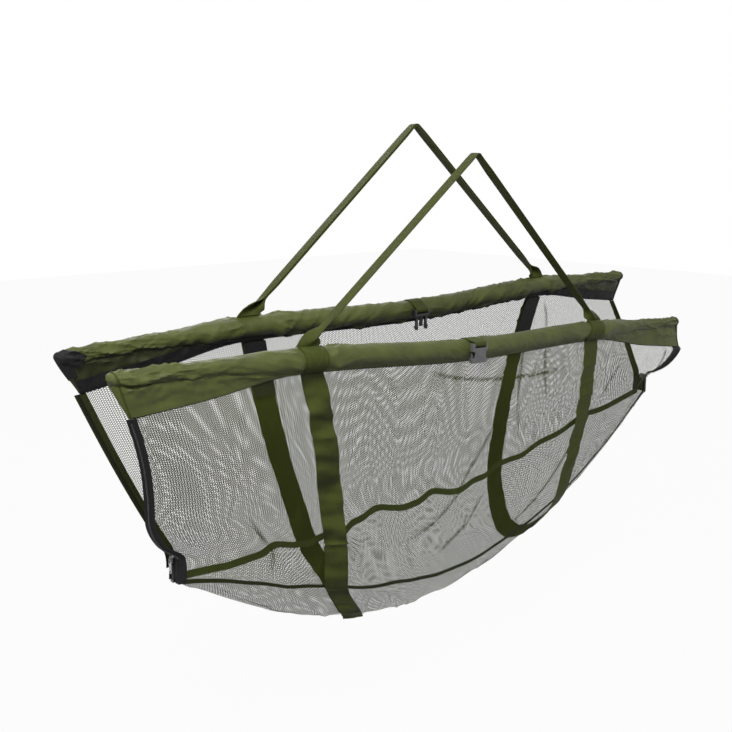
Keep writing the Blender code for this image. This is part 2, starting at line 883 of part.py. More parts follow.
def build_pull(end, frame):
    """A flat pull that hangs straight down from the bail, with an eye and an end hole."""
    name = end_names[end] + "_zip_pull"
    half = pull_width / 2
    bar = pull_thickness / 2
    tail = pull_length - bar
    waist = half * pull_waist_share
    waist_down = -tail * pull_waist_place_share
    points = [(-half, bar), (half, bar), (half, -pull_eye_length - bar * 2), (waist, waist_down)]
    for k in range(7):
        a = -math.pi * k / 6
        points.append((half * math.cos(a), -tail + half + half * math.sin(a)))
    points += [(-waist, waist_down), (-half, -pull_eye_length - bar * 2)]
    plate = outline(name, points, pull_thickness, [(0, -tail + half, pull_end_hole_radius)])
    eye = plate.data.splines.new("POLY")
    corners = [(-1, -bar), (1, -bar), (1, -bar - pull_eye_length), (-1, -bar - pull_eye_length)]
    eye.points.add(3)
    for spline_point, (x, y) in zip(eye.points, corners):
        spline_point.co = (x * pull_eye_width / 2, y, 0, 1)
    eye.use_cyclic_u = True
    place = frame.matrix_basis @ Matrix.Translation(pull_axis(end))
    hang = Matrix.Translation(place.to_translation())
    plate.matrix_basis = hang @ Matrix.Rotation(math.pi / 2, 4, "Z") @ Matrix.Rotation(math.pi / 2, 4, "X")
    finish_object(plate, gunmetal, 0.3, 1.0)


# Handles


def foot_axis_point(side, end):
    """Where a handle's foot turns on the sleeve, just above the strap band."""
    column = left_strap_column if end == LEFT else right_strap_column
    shares = [top_shares[column + k] for k in (0, 1)]
    up = fit_gap + strap_thickness + strap_thickness / 2 + fit_gap / 2
    tops = [sleeve_point(side, share, 0, roll_radius(share) + up) for share in shares]
    return rail_matrix(side) @ ((tops[0] + tops[1]) / 2)


def rectangle(center, wide, thick):
    return [center - wide - thick, center + wide - thick, center + wide + thick, center - wide + thick]


def handle_half(side, end):
    """Sections of one handle leg, from the foot on the sleeve up to the bend at the top."""
    foot = foot_axis_point(side, end)
    across = Vector((0, 1, 0))
    rail_x = (rail_matrix(side).to_3x3() @ Vector((1, 0, 0))).normalized() * end
    bend_z = apex_heights[side] + grip_thickness / 2 - grip_bend_radius
    bend_center = Vector((end * grip_flat_length / 2, foot.y, bend_z))
    to_foot = foot - bend_center
    reach = math.hypot(to_foot.x, to_foot.z)
    lean = math.atan2(-to_foot.z, abs(to_foot.x)) + math.asin(grip_bend_radius / reach)
    leg = Vector((-end * math.cos(lean), 0, math.sin(lean)))
    upper = Vector((end * math.sin(lean), 0, math.cos(lean)))
    loops = [rectangle(foot, rail_x * strap_width / 2, -across * strap_thickness / 2)]
    for share in (0.25, 0.5, 0.75, 1.0):
        angle = math.pi / 2 * smooth(share)
        flat = rail_x.lerp(upper, share).normalized()
        wide = flat * math.cos(angle) + across * math.sin(angle)
        thick = leg.cross(wide).normalized() * -end
        wide *= mix(strap_width, grip_width, smooth(share)) / 2
        thick *= mix(strap_thickness, grip_thickness, share) / 2
        loops.append(rectangle(foot + leg * foot_twist_length * share, wide, thick))
    for k in range(4):
        angle = lean * (1 - k / 3)
        normal = Vector((end * math.sin(angle), 0, math.cos(angle)))
        center = bend_center + normal * grip_bend_radius
        loops.append(rectangle(center, across * grip_top_width / 2, normal * grip_thickness / 2))
    return loops


def build_handle(side):
    name = side_names[side] + "_handle"
    loops = handle_half(side, LEFT) + list(reversed(handle_half(side, RIGHT)))
    origin = (foot_axis_point(side, LEFT) + foot_axis_point(side, RIGHT)) / 2
    finish_object(loft(name, loops, origin=origin), olive_webbing, 0.8)


# Buckle


def tab_path(bar_up):
    """The tab's middle line in the plane across the sleeve: over the roll, then round the bar."""
    roll = roll_radius_middle + fit_gap + tab_thickness / 2
    loop = math.hypot(bar_size, bar_size) / 2 + fit_gap + tab_thickness / 2
    distance = math.hypot(bar_out, bar_up)
    direction = math.atan2(bar_up, bar_out) - math.asin((roll - loop) / distance)
    start, leave = math.radians(tab_start_angle), -direction
    path = []
    for k in range(11):
        a = mix(start, leave, k / 10)
        path.append((roll * math.sin(a), roll * math.cos(a)))
    for k in range(13):
        a = direction + math.pi / 2 - math.radians(tab_loop_sweep) * k / 12
        path.append((bar_out + loop * math.cos(a), bar_up + loop * math.sin(a)))
    return path


def build_tab(name, side, x, bar_up, rail):
    """Both tabs lie on the side of their roll that faces the front."""
    rows = []
    for out, up in tab_path(bar_up):
        rows.append([Vector((x + k * tab_width / 2, -out, pole_bend(side, x) + up)) for k in (-1, 1)])
    finish_object(sheet(name, rows, tab_thickness), olive_webbing, 0.8, parent=rail)


def bar_empty(name, side, x, bar_up, rail):
    place = Matrix.Translation((x, -bar_out, pole_bend(side, x) + bar_up))
    return empty(name, place, rail)


def cut_bar(piece, frame):
    """Opens the slot under the webbing bar and thins the bar from both faces."""
    slot_width = buckle_width - 2 * cheek_width
    cut_box(piece, piece.name + "_slot", (slot_width, buckle_thickness + cut_overrun, bar_slot),
            (0, 0, -bar_size / 2 - bar_slot / 2), frame)
    recess = (buckle_thickness - bar_size) / 2
    for face in (-1, 1):
        center_y = face * (bar_size / 2 + (recess + cut_overrun) / 2)
        cut_box(piece, f"{piece.name}_recess_{face + 1}",
                (slot_width, recess + cut_overrun, bar_size + bar_slot + cut_overrun),
                (0, center_y, bar_size / 2 + cut_overrun - (bar_size + bar_slot + cut_overrun) / 2), frame)


def build_socket(frame):
    """The socket half: webbing bar, waisted body, a mouth at the bottom and two side windows."""
    piece = box("buckle_socket", (buckle_width, buckle_thickness, socket_length),
                (0, 0, bar_size / 2 - socket_length / 2))
    bottom = bar_size / 2 - socket_length
    mouth_width = buckle_width - 2 * socket_wall
    mouth_thickness = buckle_thickness - 2 * socket_wall
    cut_bar(piece, frame)
    cut_box(piece, "socket_mouth", (mouth_width, mouth_thickness, socket_mouth_depth + cut_overrun),
            (0, 0, bottom + (socket_mouth_depth - cut_overrun) / 2), frame)
    window_center = bottom + socket_mouth_depth - socket_waist_length / 2 - socket_wall
    for end in (LEFT, RIGHT):
        cut_box(piece, f"socket_window_{end + 1}",
                (socket_waist * 2, buckle_thickness + cut_overrun, socket_waist_length),
                (end * buckle_width / 2, 0, window_center), frame)
    finish_object(piece, black_plastic, 0.45, parent=frame)


def build_plug(frame):
    """The plug half: webbing bar, body and the middle guide."""
    piece = box("buckle_plug", (buckle_width, buckle_thickness, plug_body_length),
                (0, 0, bar_size / 2 - plug_body_length / 2))
    cut_bar(piece, frame)
    bottom = bar_size / 2 - plug_body_length
    guide = box("plug_guide", (guide_width, prong_thickness, guide_length),
                (0, 0, bottom - guide_length / 2 + fit_gap))
    cutter_collection.objects.link(guide)
    guide.parent = frame
    guide.hide_render = True
    guide.display_type = "WIRE"
    join = piece.modifiers.new("guide", "BOOLEAN")
    join.operation = "UNION"
    join.solver = "EXACT"
    join.object = guide
    finish_object(piece, black_plastic, 0.4, parent=frame)


def arm_root(end):
    bottom = bar_size / 2 - plug_body_length
    return Vector((end * (buckle_width / 2 - socket_wall - arm_hook - arm_width / 2), 0, bottom - fit_gap))


def build_arm(end, frame):
    """A springy side arm with its hook, which turns about its root."""
    half = arm_width / 2
    tip = -arm_length
    hook_start = tip + arm_hook_length
    points = [(-half, 0), (half, 0), (half, hook_start), (half + arm_hook, hook_start),
              (half + arm_hook, hook_start - arm_hook), (half, tip), (-half * 0.4, tip),
              (-half, tip + half)]
    points = [(x * end, y) for x, y in points]
    arm = outline(f"plug_{end_names[end]}_arm", points, prong_thickness)
    arm.matrix_basis = Matrix.Translation(arm_root(end)) @ Matrix.Rotation(math.pi / 2, 4, "X")
    finish_object(arm, black_plastic, 0.4, parent=frame)


# Assembly


def build_rail(side):
    rail = empty(side_names[side] + "_rail", rail_matrix(side))
    build_sleeve(side, rail)
    build_pole(side, rail)
    build_float(side, rail)
    for end in (LEFT, RIGHT):
        build_cap(side, end, rail)
        build_band(side, end, rail)
    return rail


front_rail = build_rail(FRONT)
back_rail = build_rail(BACK)
build_net_panels()
build_binding(FRONT, front_seam_row)
build_binding(BACK, back_seam_row)
for end in (LEFT, RIGHT):
    build_belly_strap(end)
    for side in (FRONT, BACK):
        build_zip_tape(side, end)
        build_zip_coil(side, end)
    build_zip_chain(end)
    build_zip_stop(end)
    zip_place = zip_empty(end)
    build_slider(end, zip_place)
    build_pull(end, zip_place)
build_handle(FRONT)
build_handle(BACK)

build_tab("socket_tab", FRONT, socket_x, socket_bar_up, front_rail)
socket_frame = bar_empty("socket_bar", FRONT, socket_x, socket_bar_up, front_rail)
build_socket(socket_frame)
build_tab("plug_tab", BACK, plug_x, plug_bar_up, back_rail)
plug_frame = bar_empty("plug_bar", BACK, plug_x, plug_bar_up, back_rail)
build_plug(plug_frame)
for end in (LEFT, RIGHT):
    build_arm(end, plug_frame)
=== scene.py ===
import json
import math

import bmesh
import bpy
import numpy as np
from mathutils import Matrix, Vector, noise


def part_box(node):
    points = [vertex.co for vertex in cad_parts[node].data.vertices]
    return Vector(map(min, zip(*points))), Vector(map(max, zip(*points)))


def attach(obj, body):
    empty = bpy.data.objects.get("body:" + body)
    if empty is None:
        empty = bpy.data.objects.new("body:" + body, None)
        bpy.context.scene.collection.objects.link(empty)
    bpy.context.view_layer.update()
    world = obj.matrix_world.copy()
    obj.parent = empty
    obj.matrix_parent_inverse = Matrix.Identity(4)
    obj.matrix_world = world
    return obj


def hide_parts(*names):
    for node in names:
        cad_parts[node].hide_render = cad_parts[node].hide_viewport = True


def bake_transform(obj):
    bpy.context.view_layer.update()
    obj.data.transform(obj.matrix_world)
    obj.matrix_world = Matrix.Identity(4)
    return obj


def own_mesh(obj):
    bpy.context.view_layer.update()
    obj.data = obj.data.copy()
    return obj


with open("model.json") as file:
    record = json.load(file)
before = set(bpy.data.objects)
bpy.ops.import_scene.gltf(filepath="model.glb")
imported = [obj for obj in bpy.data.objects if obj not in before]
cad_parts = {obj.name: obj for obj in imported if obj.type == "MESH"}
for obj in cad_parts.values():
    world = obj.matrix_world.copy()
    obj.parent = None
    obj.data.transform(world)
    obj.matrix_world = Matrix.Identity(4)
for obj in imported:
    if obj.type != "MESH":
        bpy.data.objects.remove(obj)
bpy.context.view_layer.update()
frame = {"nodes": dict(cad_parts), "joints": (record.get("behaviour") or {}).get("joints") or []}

nodes = frame["nodes"]
joints = {joint["name"]: joint for joint in frame["joints"]}
sides = {"front": -1, "back": 1}
ends = {"left": -1, "right": 1}
print("frame loaded:", len(nodes), "nodes")


# Camera, at the photograph's angle

camera = {"azimuth": -42, "elevation": 12, "distance": 1.367, "lens": 45.39, "sensor": 36,
          "target": (-0.1604, 0, -0.3285)}


def addCamera():
    turn, rise = math.radians(camera["azimuth"]), math.radians(camera["elevation"])
    back = Vector((math.sin(turn) * math.cos(rise), -math.cos(turn) * math.cos(rise), math.sin(rise)))
    bpy.ops.object.camera_add(location=Vector(camera["target"]) + back * camera["distance"])
    shot = bpy.context.object
    shot.name = "camera"
    shot.rotation_mode = "QUATERNION"
    shot.rotation_quaternion = (-back).to_track_quat("-Z", "Y")
    shot.data.lens = camera["lens"]
    shot.data.sensor_width = camera["sensor"]
    bpy.context.scene.camera = shot
    print("camera placed")


# Material helpers: each adds to the material that is being made

making = {}  # its node tree and its shader


def newMaterial(name, roughness=0.6, shine=None):
    mat = bpy.data.materials.new(name)
    mat.use_nodes = True
    shader = mat.node_tree.nodes["Principled BSDF"]
    making.update(tree=mat.node_tree, shader=shader)
    shader.inputs["Roughness"].default_value = roughness
    if shine is not None:
        shader.inputs["Specular IOR Level"].default_value = shine
    return mat


def newNode(kind):
    return making["tree"].nodes.new("ShaderNode" + kind)


def link(value, socket):
    making["tree"].links.new(value, socket)


def maths(operation, a, b=None, c=None):
    node = newNode("Math")
    node.operation = operation
    for socket, value in zip(node.inputs, (a, b, c)):
        if isinstance(value, (int, float)):
            socket.default_value = value
        elif value is not None:
            link(value, socket)
    return node.outputs[0]


def ramp(value, stops):
    node = newNode("ValToRGB")
    while len(node.color_ramp.elements) < len(stops):
        node.color_ramp.elements.new(0.5)
    for element, (place, shade) in zip(node.color_ramp.elements, stops):
        element.position = place
        element.color = (*shade, 1) if isinstance(shade, tuple) else (shade, shade, shade, 1)
    link(value, node.inputs[0])
    return node.outputs[0]


def addShare(value, share, start):
    # start, with a share of value added to it
    return maths("MULTIPLY_ADD", value, share, start)


def split(place):
    node = newNode("SeparateXYZ")
    link(place, node.inputs[0])
    return node.outputs


def stretched(place, scale):
    node = newNode("Mapping")
    node.inputs["Scale"].default_value = scale
    link(place, node.inputs[0])
    return node.outputs[0]


def objectPlace():
    return newNode("TexCoord").outputs["Object"]


def clothPlace():
    # the UV map of a sheet is in metres, across and along it
    return newNode("TexCoord").outputs["UV"]


def noiseAt(place, scale, detail=3, roughness=0.5):
    node = newNode("TexNoise")
    node.inputs["Scale"].default_value = scale
    node.inputs["Detail"].default_value = detail
    node.inputs["Roughness"].default_value = roughness
    link(place, node.inputs["Vector"])
    return node.outputs["Fac"]


def wavesAt(value, pitch):
    # a wave of that pitch in metres, from -1 to 1
    return maths("SINE", maths("MULTIPLY", value, math.tau / pitch))


def bump(height, strength, distance):
    node = newNode("Bump")
    node.inputs["Strength"].default_value = strength
    node.inputs["Distance"].default_value = distance
    link(height, node.inputs["Height"])
    link(node.outputs["Normal"], making["shader"].inputs["Normal"])


def mixColours(share, a, b):
    node = newNode("Mix")
    node.data_type = "RGBA"
    link(share, node.inputs["Factor"])
    for socket, value in ((node.inputs[6], a), (node.inputs[7], b)):
        if isinstance(value, tuple):
            socket.default_value = (*value, 1)
        else:
            link(value, socket)
    return node.outputs[2]


def paint(share, dark, light):
    link(mixColours(share, dark, light), making["shader"].inputs["Base Color"])


def grade(socket, value, low, high, start=0.3, stop=0.7):
    # from low to high, as the value goes from start to stop
    link(ramp(value, ((start, low), (stop, high))), making["shader"].inputs[socket])


# Materials

# the back colour and its share are painted shade for the inside below the roll
nylonLook = {"dark": (0.038, 0.047, 0.008), "light": (0.084, 0.096, 0.024), "back": (0.008, 0.010, 0.001),
             "underRollShadeShare": 0.88, "girth": 0.1124, "weavePitch": 0.0009, "creaseHeight": 0.0026,
             "roughness": 0.46, "shine": 0.26}


def nylonMaterial():
    # coated woven nylon: a fine plain weave, worn a little paler in clouds, with painted shade on the inside
    # below the roll
    mat = newMaterial("olive nylon", nylonLook["roughness"], nylonLook["shine"])
    place = clothPlace()
    apart = split(place)
    weave = maths("MULTIPLY", *[wavesAt(apart[k], nylonLook["weavePitch"]) for k in (0, 1)])
    cloudy = noiseAt(place, 26, 5, 0.6)
    fibre = noiseAt(place, 900, 2)
    shade = addShare(weave, 0.06, cloudy)
    shade = addShare(fibre, 0.18, maths("SUBTRACT", shade, 0.09))
    worn = ramp(shade, ((0.3, 0.0), (0.75, 1.0)))
    cloth = mixColours(worn, nylonLook["dark"], nylonLook["light"])
    # painted shade: the side that faces the mouth, below the roll, darkens to a near-black olive, standing
    # for the shadow of the roll
    around = maths("MULTIPLY", apart[1], 1 / nylonLook["girth"])
    back = ramp(addShare(cloudy, 0.04, around), ((0.72, 0.0), (0.79, nylonLook["underRollShadeShare"])))
    paint(back, cloth, nylonLook["back"])
    grade("Roughness", cloudy, 0.40, 0.56)
    # fine weave and the small creases of a coated cloth
    creases = noiseAt(place, 52, 4, 0.55)
    bump(addShare(weave, 0.06, creases), 0.6, nylonLook["creaseHeight"])
    return mat


webbingLook = {"dark": (0.022, 0.028, 0.004), "light": (0.056, 0.068, 0.013), "ribPitch": 0.0014,
               "yarnPitch": 0.0012, "roughness": 0.66, "shine": 0.12}


def webbingMaterial(name, dark, light, flat=True, creaseShade=0.0):
    # ribs run across the webbing, and its yarns run along it; the crease amount darkens it in bands across,
    # which is painted shade of its ripples
    mat = newMaterial(name, webbingLook["roughness"], webbingLook["shine"])
    place = clothPlace() if flat else objectPlace()
    apart = split(place)
    yarns = wavesAt(apart[0], webbingLook["yarnPitch"])
    ribs = wavesAt(apart[1 if flat else 2], webbingLook["ribPitch"])
    # every other yarn is half a rib on, as in a twill
    shifted = maths("MULTIPLY", maths("GREATER_THAN", yarns, 0.0), ribs)
    weave = addShare(shifted, -1.6, maths("ADD", ribs, maths("MULTIPLY", yarns, 0.5)))
    fuzz = noiseAt(place, 700, 3)
    patches = noiseAt(place, 30, 3)
    shade = addShare(fuzz, 0.4, maths("MULTIPLY", patches, 0.6))
    shade = addShare(weave, 0.10, shade)
    # painted shade: dark bands across the strap where its ripples would be in shade
    if creaseShade:
        creases = noiseAt(stretched(place, (0.3, 1, 1)), 34, 1)
        shade = addShare(maths("SUBTRACT", creases, 0.5), creaseShade, shade)
    paint(ramp(shade, ((0.25, 0.0), (0.75, 1.0))), dark, light)
    grade("Roughness", patches, 0.52, 0.72)
    bump(addShare(fuzz, 0.5, weave), 0.4, 0.0003)
    return mat


netLook = {"thread": (0.032, 0.038, 0.006), "pitch": 0.0030, "threadShare": -0.53, "foldShare": 2.4,
           "roughness": 0.8, "shine": 0.08}


def netMaterial():
    # soft mesh: round holes in a triangular layout, one pitch apart, with the threads left between them
    mat = newMaterial("black mesh", netLook["roughness"], netLook["shine"])
    place = clothPlace()
    apart = split(place)
    step = math.tau / (netLook["pitch"] * math.sqrt(3) / 2)
    rings = None
    for turn in (0, 60, 120):
        a = math.radians(turn)
        run = maths("ADD", maths("MULTIPLY", apart[0], step * math.cos(a)),
                    maths("MULTIPLY", apart[1], step * math.sin(a)))
        wave = maths("COSINE", run)
        rings = wave if rings is None else maths("ADD", rings, wave)
    # the mesh looks closer where it lies folded on itself
    folded = newNode("Attribute")
    folded.attribute_name = "fold"
    share = addShare(folded.outputs["Fac"], netLook["foldShare"], netLook["threadShare"])
    link(maths("LESS_THAN", rings, share), making["shader"].inputs["Alpha"])
    dark, light = [tuple(c * k for c in netLook["thread"]) for k in (0.5, 1.5)]
    grade("Base Color", noiseAt(place, 1500, 2), dark, light)
    grade("Roughness", noiseAt(place, 40, 2), 0.6, 0.8)
    return mat


tapeLook = {"dark": (0.003, 0.003, 0.0035), "light": (0.015, 0.015, 0.016), "twillPitch": 0.0016,
            "turnAt": 0.0035, "roughness": 0.62, "shine": 0.15}


def tapeMaterial(name, dark, light):
    # woven tape, whose twill turns back every few millimetres as a herringbone
    mat = newMaterial(name, tapeLook["roughness"], tapeLook["shine"])
    place = clothPlace()
    apart = split(place)
    slant = maths("ADD", maths("PINGPONG", apart[0], tapeLook["turnAt"]), apart[1])
    twill = wavesAt(slant, tapeLook["twillPitch"])
    fuzz = noiseAt(place, 600, 3)
    paint(ramp(addShare(twill, 0.18, fuzz), ((0.3, 0.0), (0.8, 1.0))), dark, light)
    grade("Roughness", fuzz, 0.5, 0.7)
    bump(addShare(fuzz, 0.6, twill), 0.4, 0.00025)
    return mat


def plasticMaterial(name, dark, light, roughness):
    # moulded plastic: faint flow marks, a fine matte grain and small scuffs
    mat = newMaterial(name, roughness)
    place = objectPlace()
    flow = noiseAt(place, 60, 4)
    grain = noiseAt(place, 2200, 2)
    scuffs = ramp(noiseAt(place, 240, 6, 0.75), ((0.60, 0.0), (0.66, 0.35)))
    paint(scuffs, mixColours(flow, dark, light), tuple(c * 2.2 for c in light))
    grade("Roughness", flow, roughness - 0.08, roughness + 0.1)
    bump(addShare(flow, 0.5, grain), 0.2, 0.0001)
    return mat


def metalMaterial(name, dark, light, roughness):
    # plated zinc: tumbled finish with fine scratches and duller patches
    mat = newMaterial(name, roughness)
    place = objectPlace()
    scratches = noiseAt(stretched(place, (1, 1, 0.08)), 3000, 3)
    patches = noiseAt(place, 400, 3)
    paint(patches, dark, light)
    wear = addShare(scratches, 0.5, maths("MULTIPLY", patches, 0.5))
    grade("Roughness", wear, roughness - 0.1, roughness + 0.15)
    making["shader"].inputs["Metallic"].default_value = 1
    bump(scratches, 0.15, 0.00005)
    return mat


def poleMaterial():
    # glass fibre rod: fine fibres along it under a smooth resin skin
    mat = newMaterial("glass fibre", 0.3)
    fibres = noiseAt(stretched(objectPlace(), (0.02, 1, 1)), 2400, 3)
    grade("Base Color", fibres, (0.035, 0.035, 0.030), (0.09, 0.09, 0.075))
    grade("Roughness", fibres, 0.25, 0.4)
    bump(fibres, 0.15, 0.0001)
    return mat


def foamMaterial():
    # closed-cell foam: a skin of small cells
    mat = newMaterial("grey foam", 0.85)
    place = objectPlace()
    node = newNode("TexVoronoi")
    node.inputs["Scale"].default_value = 700
    link(place, node.inputs["Vector"])
    cells = node.outputs["Distance"]
    grade("Base Color", cells, (0.09, 0.09, 0.09), (0.19, 0.19, 0.19), 0.0, 0.6)
    grade("Roughness", noiseAt(place, 50, 3), 0.78, 0.95)
    bump(cells, 0.4, 0.0004)
    return mat


def threadMaterial():
    # twisted thread: its twist runs at a slant round each stitch
    mat = newMaterial("olive thread")
    place = objectPlace()
    apart = split(place)
    twist = wavesAt(maths("ADD", apart[0], apart[2]), 0.0006)
    paint(addShare(twist, 0.4, 0.5), (0.035, 0.045, 0.012), (0.105, 0.125, 0.050))
    grade("Roughness", noiseAt(place, 500, 2), 0.5, 0.7)
    bump(twist, 0.3, 0.0001)
    return mat


nylon = nylonMaterial()
webbing = webbingMaterial("olive webbing", webbingLook["dark"], webbingLook["light"])
# webbing with painted shade in bands, and a near-black dark colour for it
webbingWithCreaseShade = webbingMaterial("olive webbing, creased", (0.012, 0.015, 0.002), webbingLook["light"],
                                 creaseShade=1.8)
webbingSolid = webbingMaterial("olive webbing, solid", webbingLook["dark"], webbingLook["light"], flat=False)
net = netMaterial()
blackTape = tapeMaterial("black tape", tapeLook["dark"], tapeLook["light"])
oliveTape = tapeMaterial("olive tape", (0.030, 0.041, 0.010), (0.070, 0.088, 0.026))
edgeTape = tapeMaterial("dark olive tape", (0.005, 0.007, 0.001), (0.024, 0.030, 0.005))
blackPlastic = plasticMaterial("black plastic", (0.005, 0.005, 0.006), (0.014, 0.014, 0.015), 0.46)
socketPlastic = plasticMaterial("satin black plastic", (0.055, 0.055, 0.057), (0.085, 0.085, 0.087), 0.38)
gunmetal = metalMaterial("gunmetal", (0.10, 0.10, 0.105), (0.22, 0.22, 0.23), 0.36)
nickel = metalMaterial("nickel", (0.34, 0.34, 0.35), (0.52, 0.52, 0.53), 0.3)
glassFibre = poleMaterial()
foam = foamMaterial()
thread = threadMaterial()
print("materials made")


# Modelling helpers


def pick(*pieces):
    if bpy.context.mode != "OBJECT":
        bpy.ops.object.mode_set(mode="OBJECT")
    bpy.ops.object.select_all(action="DESELECT")
    for piece in pieces:
        piece.select_set(True)
        bpy.context.view_layer.objects.active = piece


def applyModifiers(piece):
    pick(piece)
    for modifier in list(piece.modifiers):
        bpy.ops.object.modifier_apply(modifier=modifier.name)


def dress(piece, mat, body=None, replaced=()):
    piece.data.materials.clear()
    piece.data.materials.append(mat)
    if body:
        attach(piece, body)
    if replaced:
        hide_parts(*replaced)
    return piece


def smoothShade(piece, angle):
    pick(piece)
    bpy.ops.object.shade_smooth_by_angle(angle=math.radians(angle))


def editAll(piece):
    pick(piece)
    bpy.ops.object.mode_set(mode="EDIT")
    bpy.ops.mesh.select_all(action="SELECT")


def turnOutwards(piece):
    editAll(piece)
    bpy.ops.mesh.normals_make_consistent(inside=False)
    bpy.ops.object.mode_set(mode="OBJECT")


def roundEdges(piece, width, angle):
    rounding = piece.modifiers.new("edges", "BEVEL")
    rounding.width = width
    rounding.segments = 2
    rounding.limit_method = "ANGLE"
    rounding.angle_limit = math.radians(angle)


def makeSheet(name, columns, rows, place, flat, thickness=0, edgeRound=0):
    # a grid bent to place(across, along), both from 0 to 1, whose UV map is its flat size in metres
    pick()
    bpy.ops.mesh.primitive_grid_add(x_subdivisions=columns, y_subdivisions=rows, size=2, location=(0, 0, 0))
    piece = bpy.context.object
    piece.name = piece.data.name = name
    for vert in piece.data.vertices:
        vert.co = place((vert.co.x + 1) / 2, (vert.co.y + 1) / 2)
    for corner in piece.data.uv_layers[0].data:
        corner.uv = (corner.uv[0] * flat[0], corner.uv[1] * flat[1])
    if thickness:
        wall = piece.modifiers.new("thickness", "SOLIDIFY")
        wall.thickness = thickness
        wall.offset = 0
        if edgeRound:
            roundEdges(piece, edgeRound, 55)
        applyModifiers(piece)
        turnOutwards(piece)
    smoothShade(piece, 50)
    return piece


def copyNode(nodeName, name, edge):
    # a welded copy of a CAD node, with its edges rounded
    pick()
    piece = nodes[nodeName].copy()
    piece.data = nodes[nodeName].data.copy()
    for key in list(piece.keys()):
        if key.startswith("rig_"):
            del piece[key]
    piece.parent = None
    piece.name = piece.data.name = name
    bpy.context.scene.collection.objects.link(piece)
    editAll(piece)
    bpy.ops.mesh.remove_doubles(threshold=0.00001)
    bpy.ops.mesh.dissolve_limited(angle_limit=math.radians(2))
    bpy.ops.object.mode_set(mode="OBJECT")
    roundEdges(piece, edge, 40)
    applyModifiers(piece)
    smoothShade(piece, 40)
    return piece


def mix(a, b, share):
    return a + (b - a) * share


def smooth(share):
    share = min(1, max(0, share))
    return share * share * (3 - 2 * share)


# Rails: the frame of each pole and its sleeve, whose X axis is the pole's straight line

rails = {"front": {"y": -0.065, "z": -0.303, "rise": -0.0325, "droop": 0.001},
         "back": {"y": 0.065, "z": -0.257, "rise": 0.0048, "droop": 0.006}}
pole = {"half": 0.600, "sag": 0.009, "strapX": 0.316}


def railPoint(side, x, outward, up):
    rail = rails[side]
    if abs(x) < pole["strapX"]:
        bend = -pole["sag"] * math.cos(math.pi / 2 * x / pole["strapX"]) ** 2
    else:
        bend = -rail["droop"] * ((abs(x) - pole["strapX"]) / (pole["half"] - pole["strapX"])) ** 2
    tilt = math.asin(rail["rise"] / pole["half"])
    place = Vector((x, sides[side] * outward, bend + up))
    return Matrix.Rotation(-tilt, 4, "Y") @ place + Vector((0, rail["y"], rail["z"]))


# Sleeves: a roll round the pole and float, with a sewn fin that widens towards the ends

sleeve = {"radius": 0.0145, "endRadius": 0.00794, "depth": 0.033, "endDepth": 0.055, "flareFrom": 0.360,
          "finHalf": 0.0015, "slantShare": 0.4, "wall": 0.0009, "columns": 400, "rows": 64,
          "seed": {"front": 3.7, "back": 11.3}, "gather": {"front": 0.0018, "back": 0.0054},
          "crumple": 0.0046, "strapPull": 0.0054, "swell": 0.0010, "kickFrom": 0.80, "kick": 0.012,
          "hoodShare": 0.013, "hoodLength": 0.0085, "hem": 0.0007, "hemShare": 0.055}
section = {"edge": 0.03, "root": 0.20, "rootAngle": math.radians(150)}  # edge and root as shares of the girth
strap = {"width": 0.038, "thickness": 0.0016, "spacing": 0.632}
buckle = {"front": -0.005, "back": 0.0, "half": 0.0135, "pull": 0.7}


def sleeveSize(share):
    flare = max(0, (abs(share) * pole["half"] - sleeve["flareFrom"]) / (pole["half"] - sleeve["flareFrom"]))
    radius = mix(sleeve["radius"], sleeve["endRadius"], smooth(flare * 1.6))
    return radius, mix(sleeve["depth"], sleeve["endDepth"], flare), flare


def kicked(side, share):
    # the front sleeve's right end is cut square, and its lower corner stands out
    return smooth((share - sleeve["kickFrom"]) / (1 - sleeve["kickFrom"])) if side == "front" else 0


def sleeveSection(around, radius, low, finHalf):
    # outward and up, from the middle of the lower edge over the outside of the roll to the inside
    edge, root = section["edge"], section["root"]
    s = around if around <= 0.5 else 1 - around
    angle = section["rootAngle"] * (1 - max(0, s - root) / (0.5 - root))
    point = Vector((radius * math.sin(angle), radius * math.cos(angle)))
    if s < edge:
        point = Vector((finHalf * s / edge, low))
    elif s < root:
        point = Vector((finHalf, low)).lerp(point, (s - edge) / (root - edge))
    return point if around <= 0.5 else Vector((-point.x, point.y))


def sewnFlat(side, x):
    # 0 where something is sewn over the sleeve, rising to 1 away from it
    near = abs(abs(x) - strap["spacing"] / 2) - strap["width"] / 2
    return smooth(min(near, abs(x - buckle[side]) - buckle["half"]) / 0.016)


def waver(x, y, seed):
    # smooth noise, from about -1 to 1
    return noise.noise(Vector((x, y, seed)))


def ridge(x, y, seed):
    # a sharp-topped fold from smooth noise, from 0 to 1
    return max(0, 1 - abs(waver(x, y, seed)) * 3.2) ** 1.5


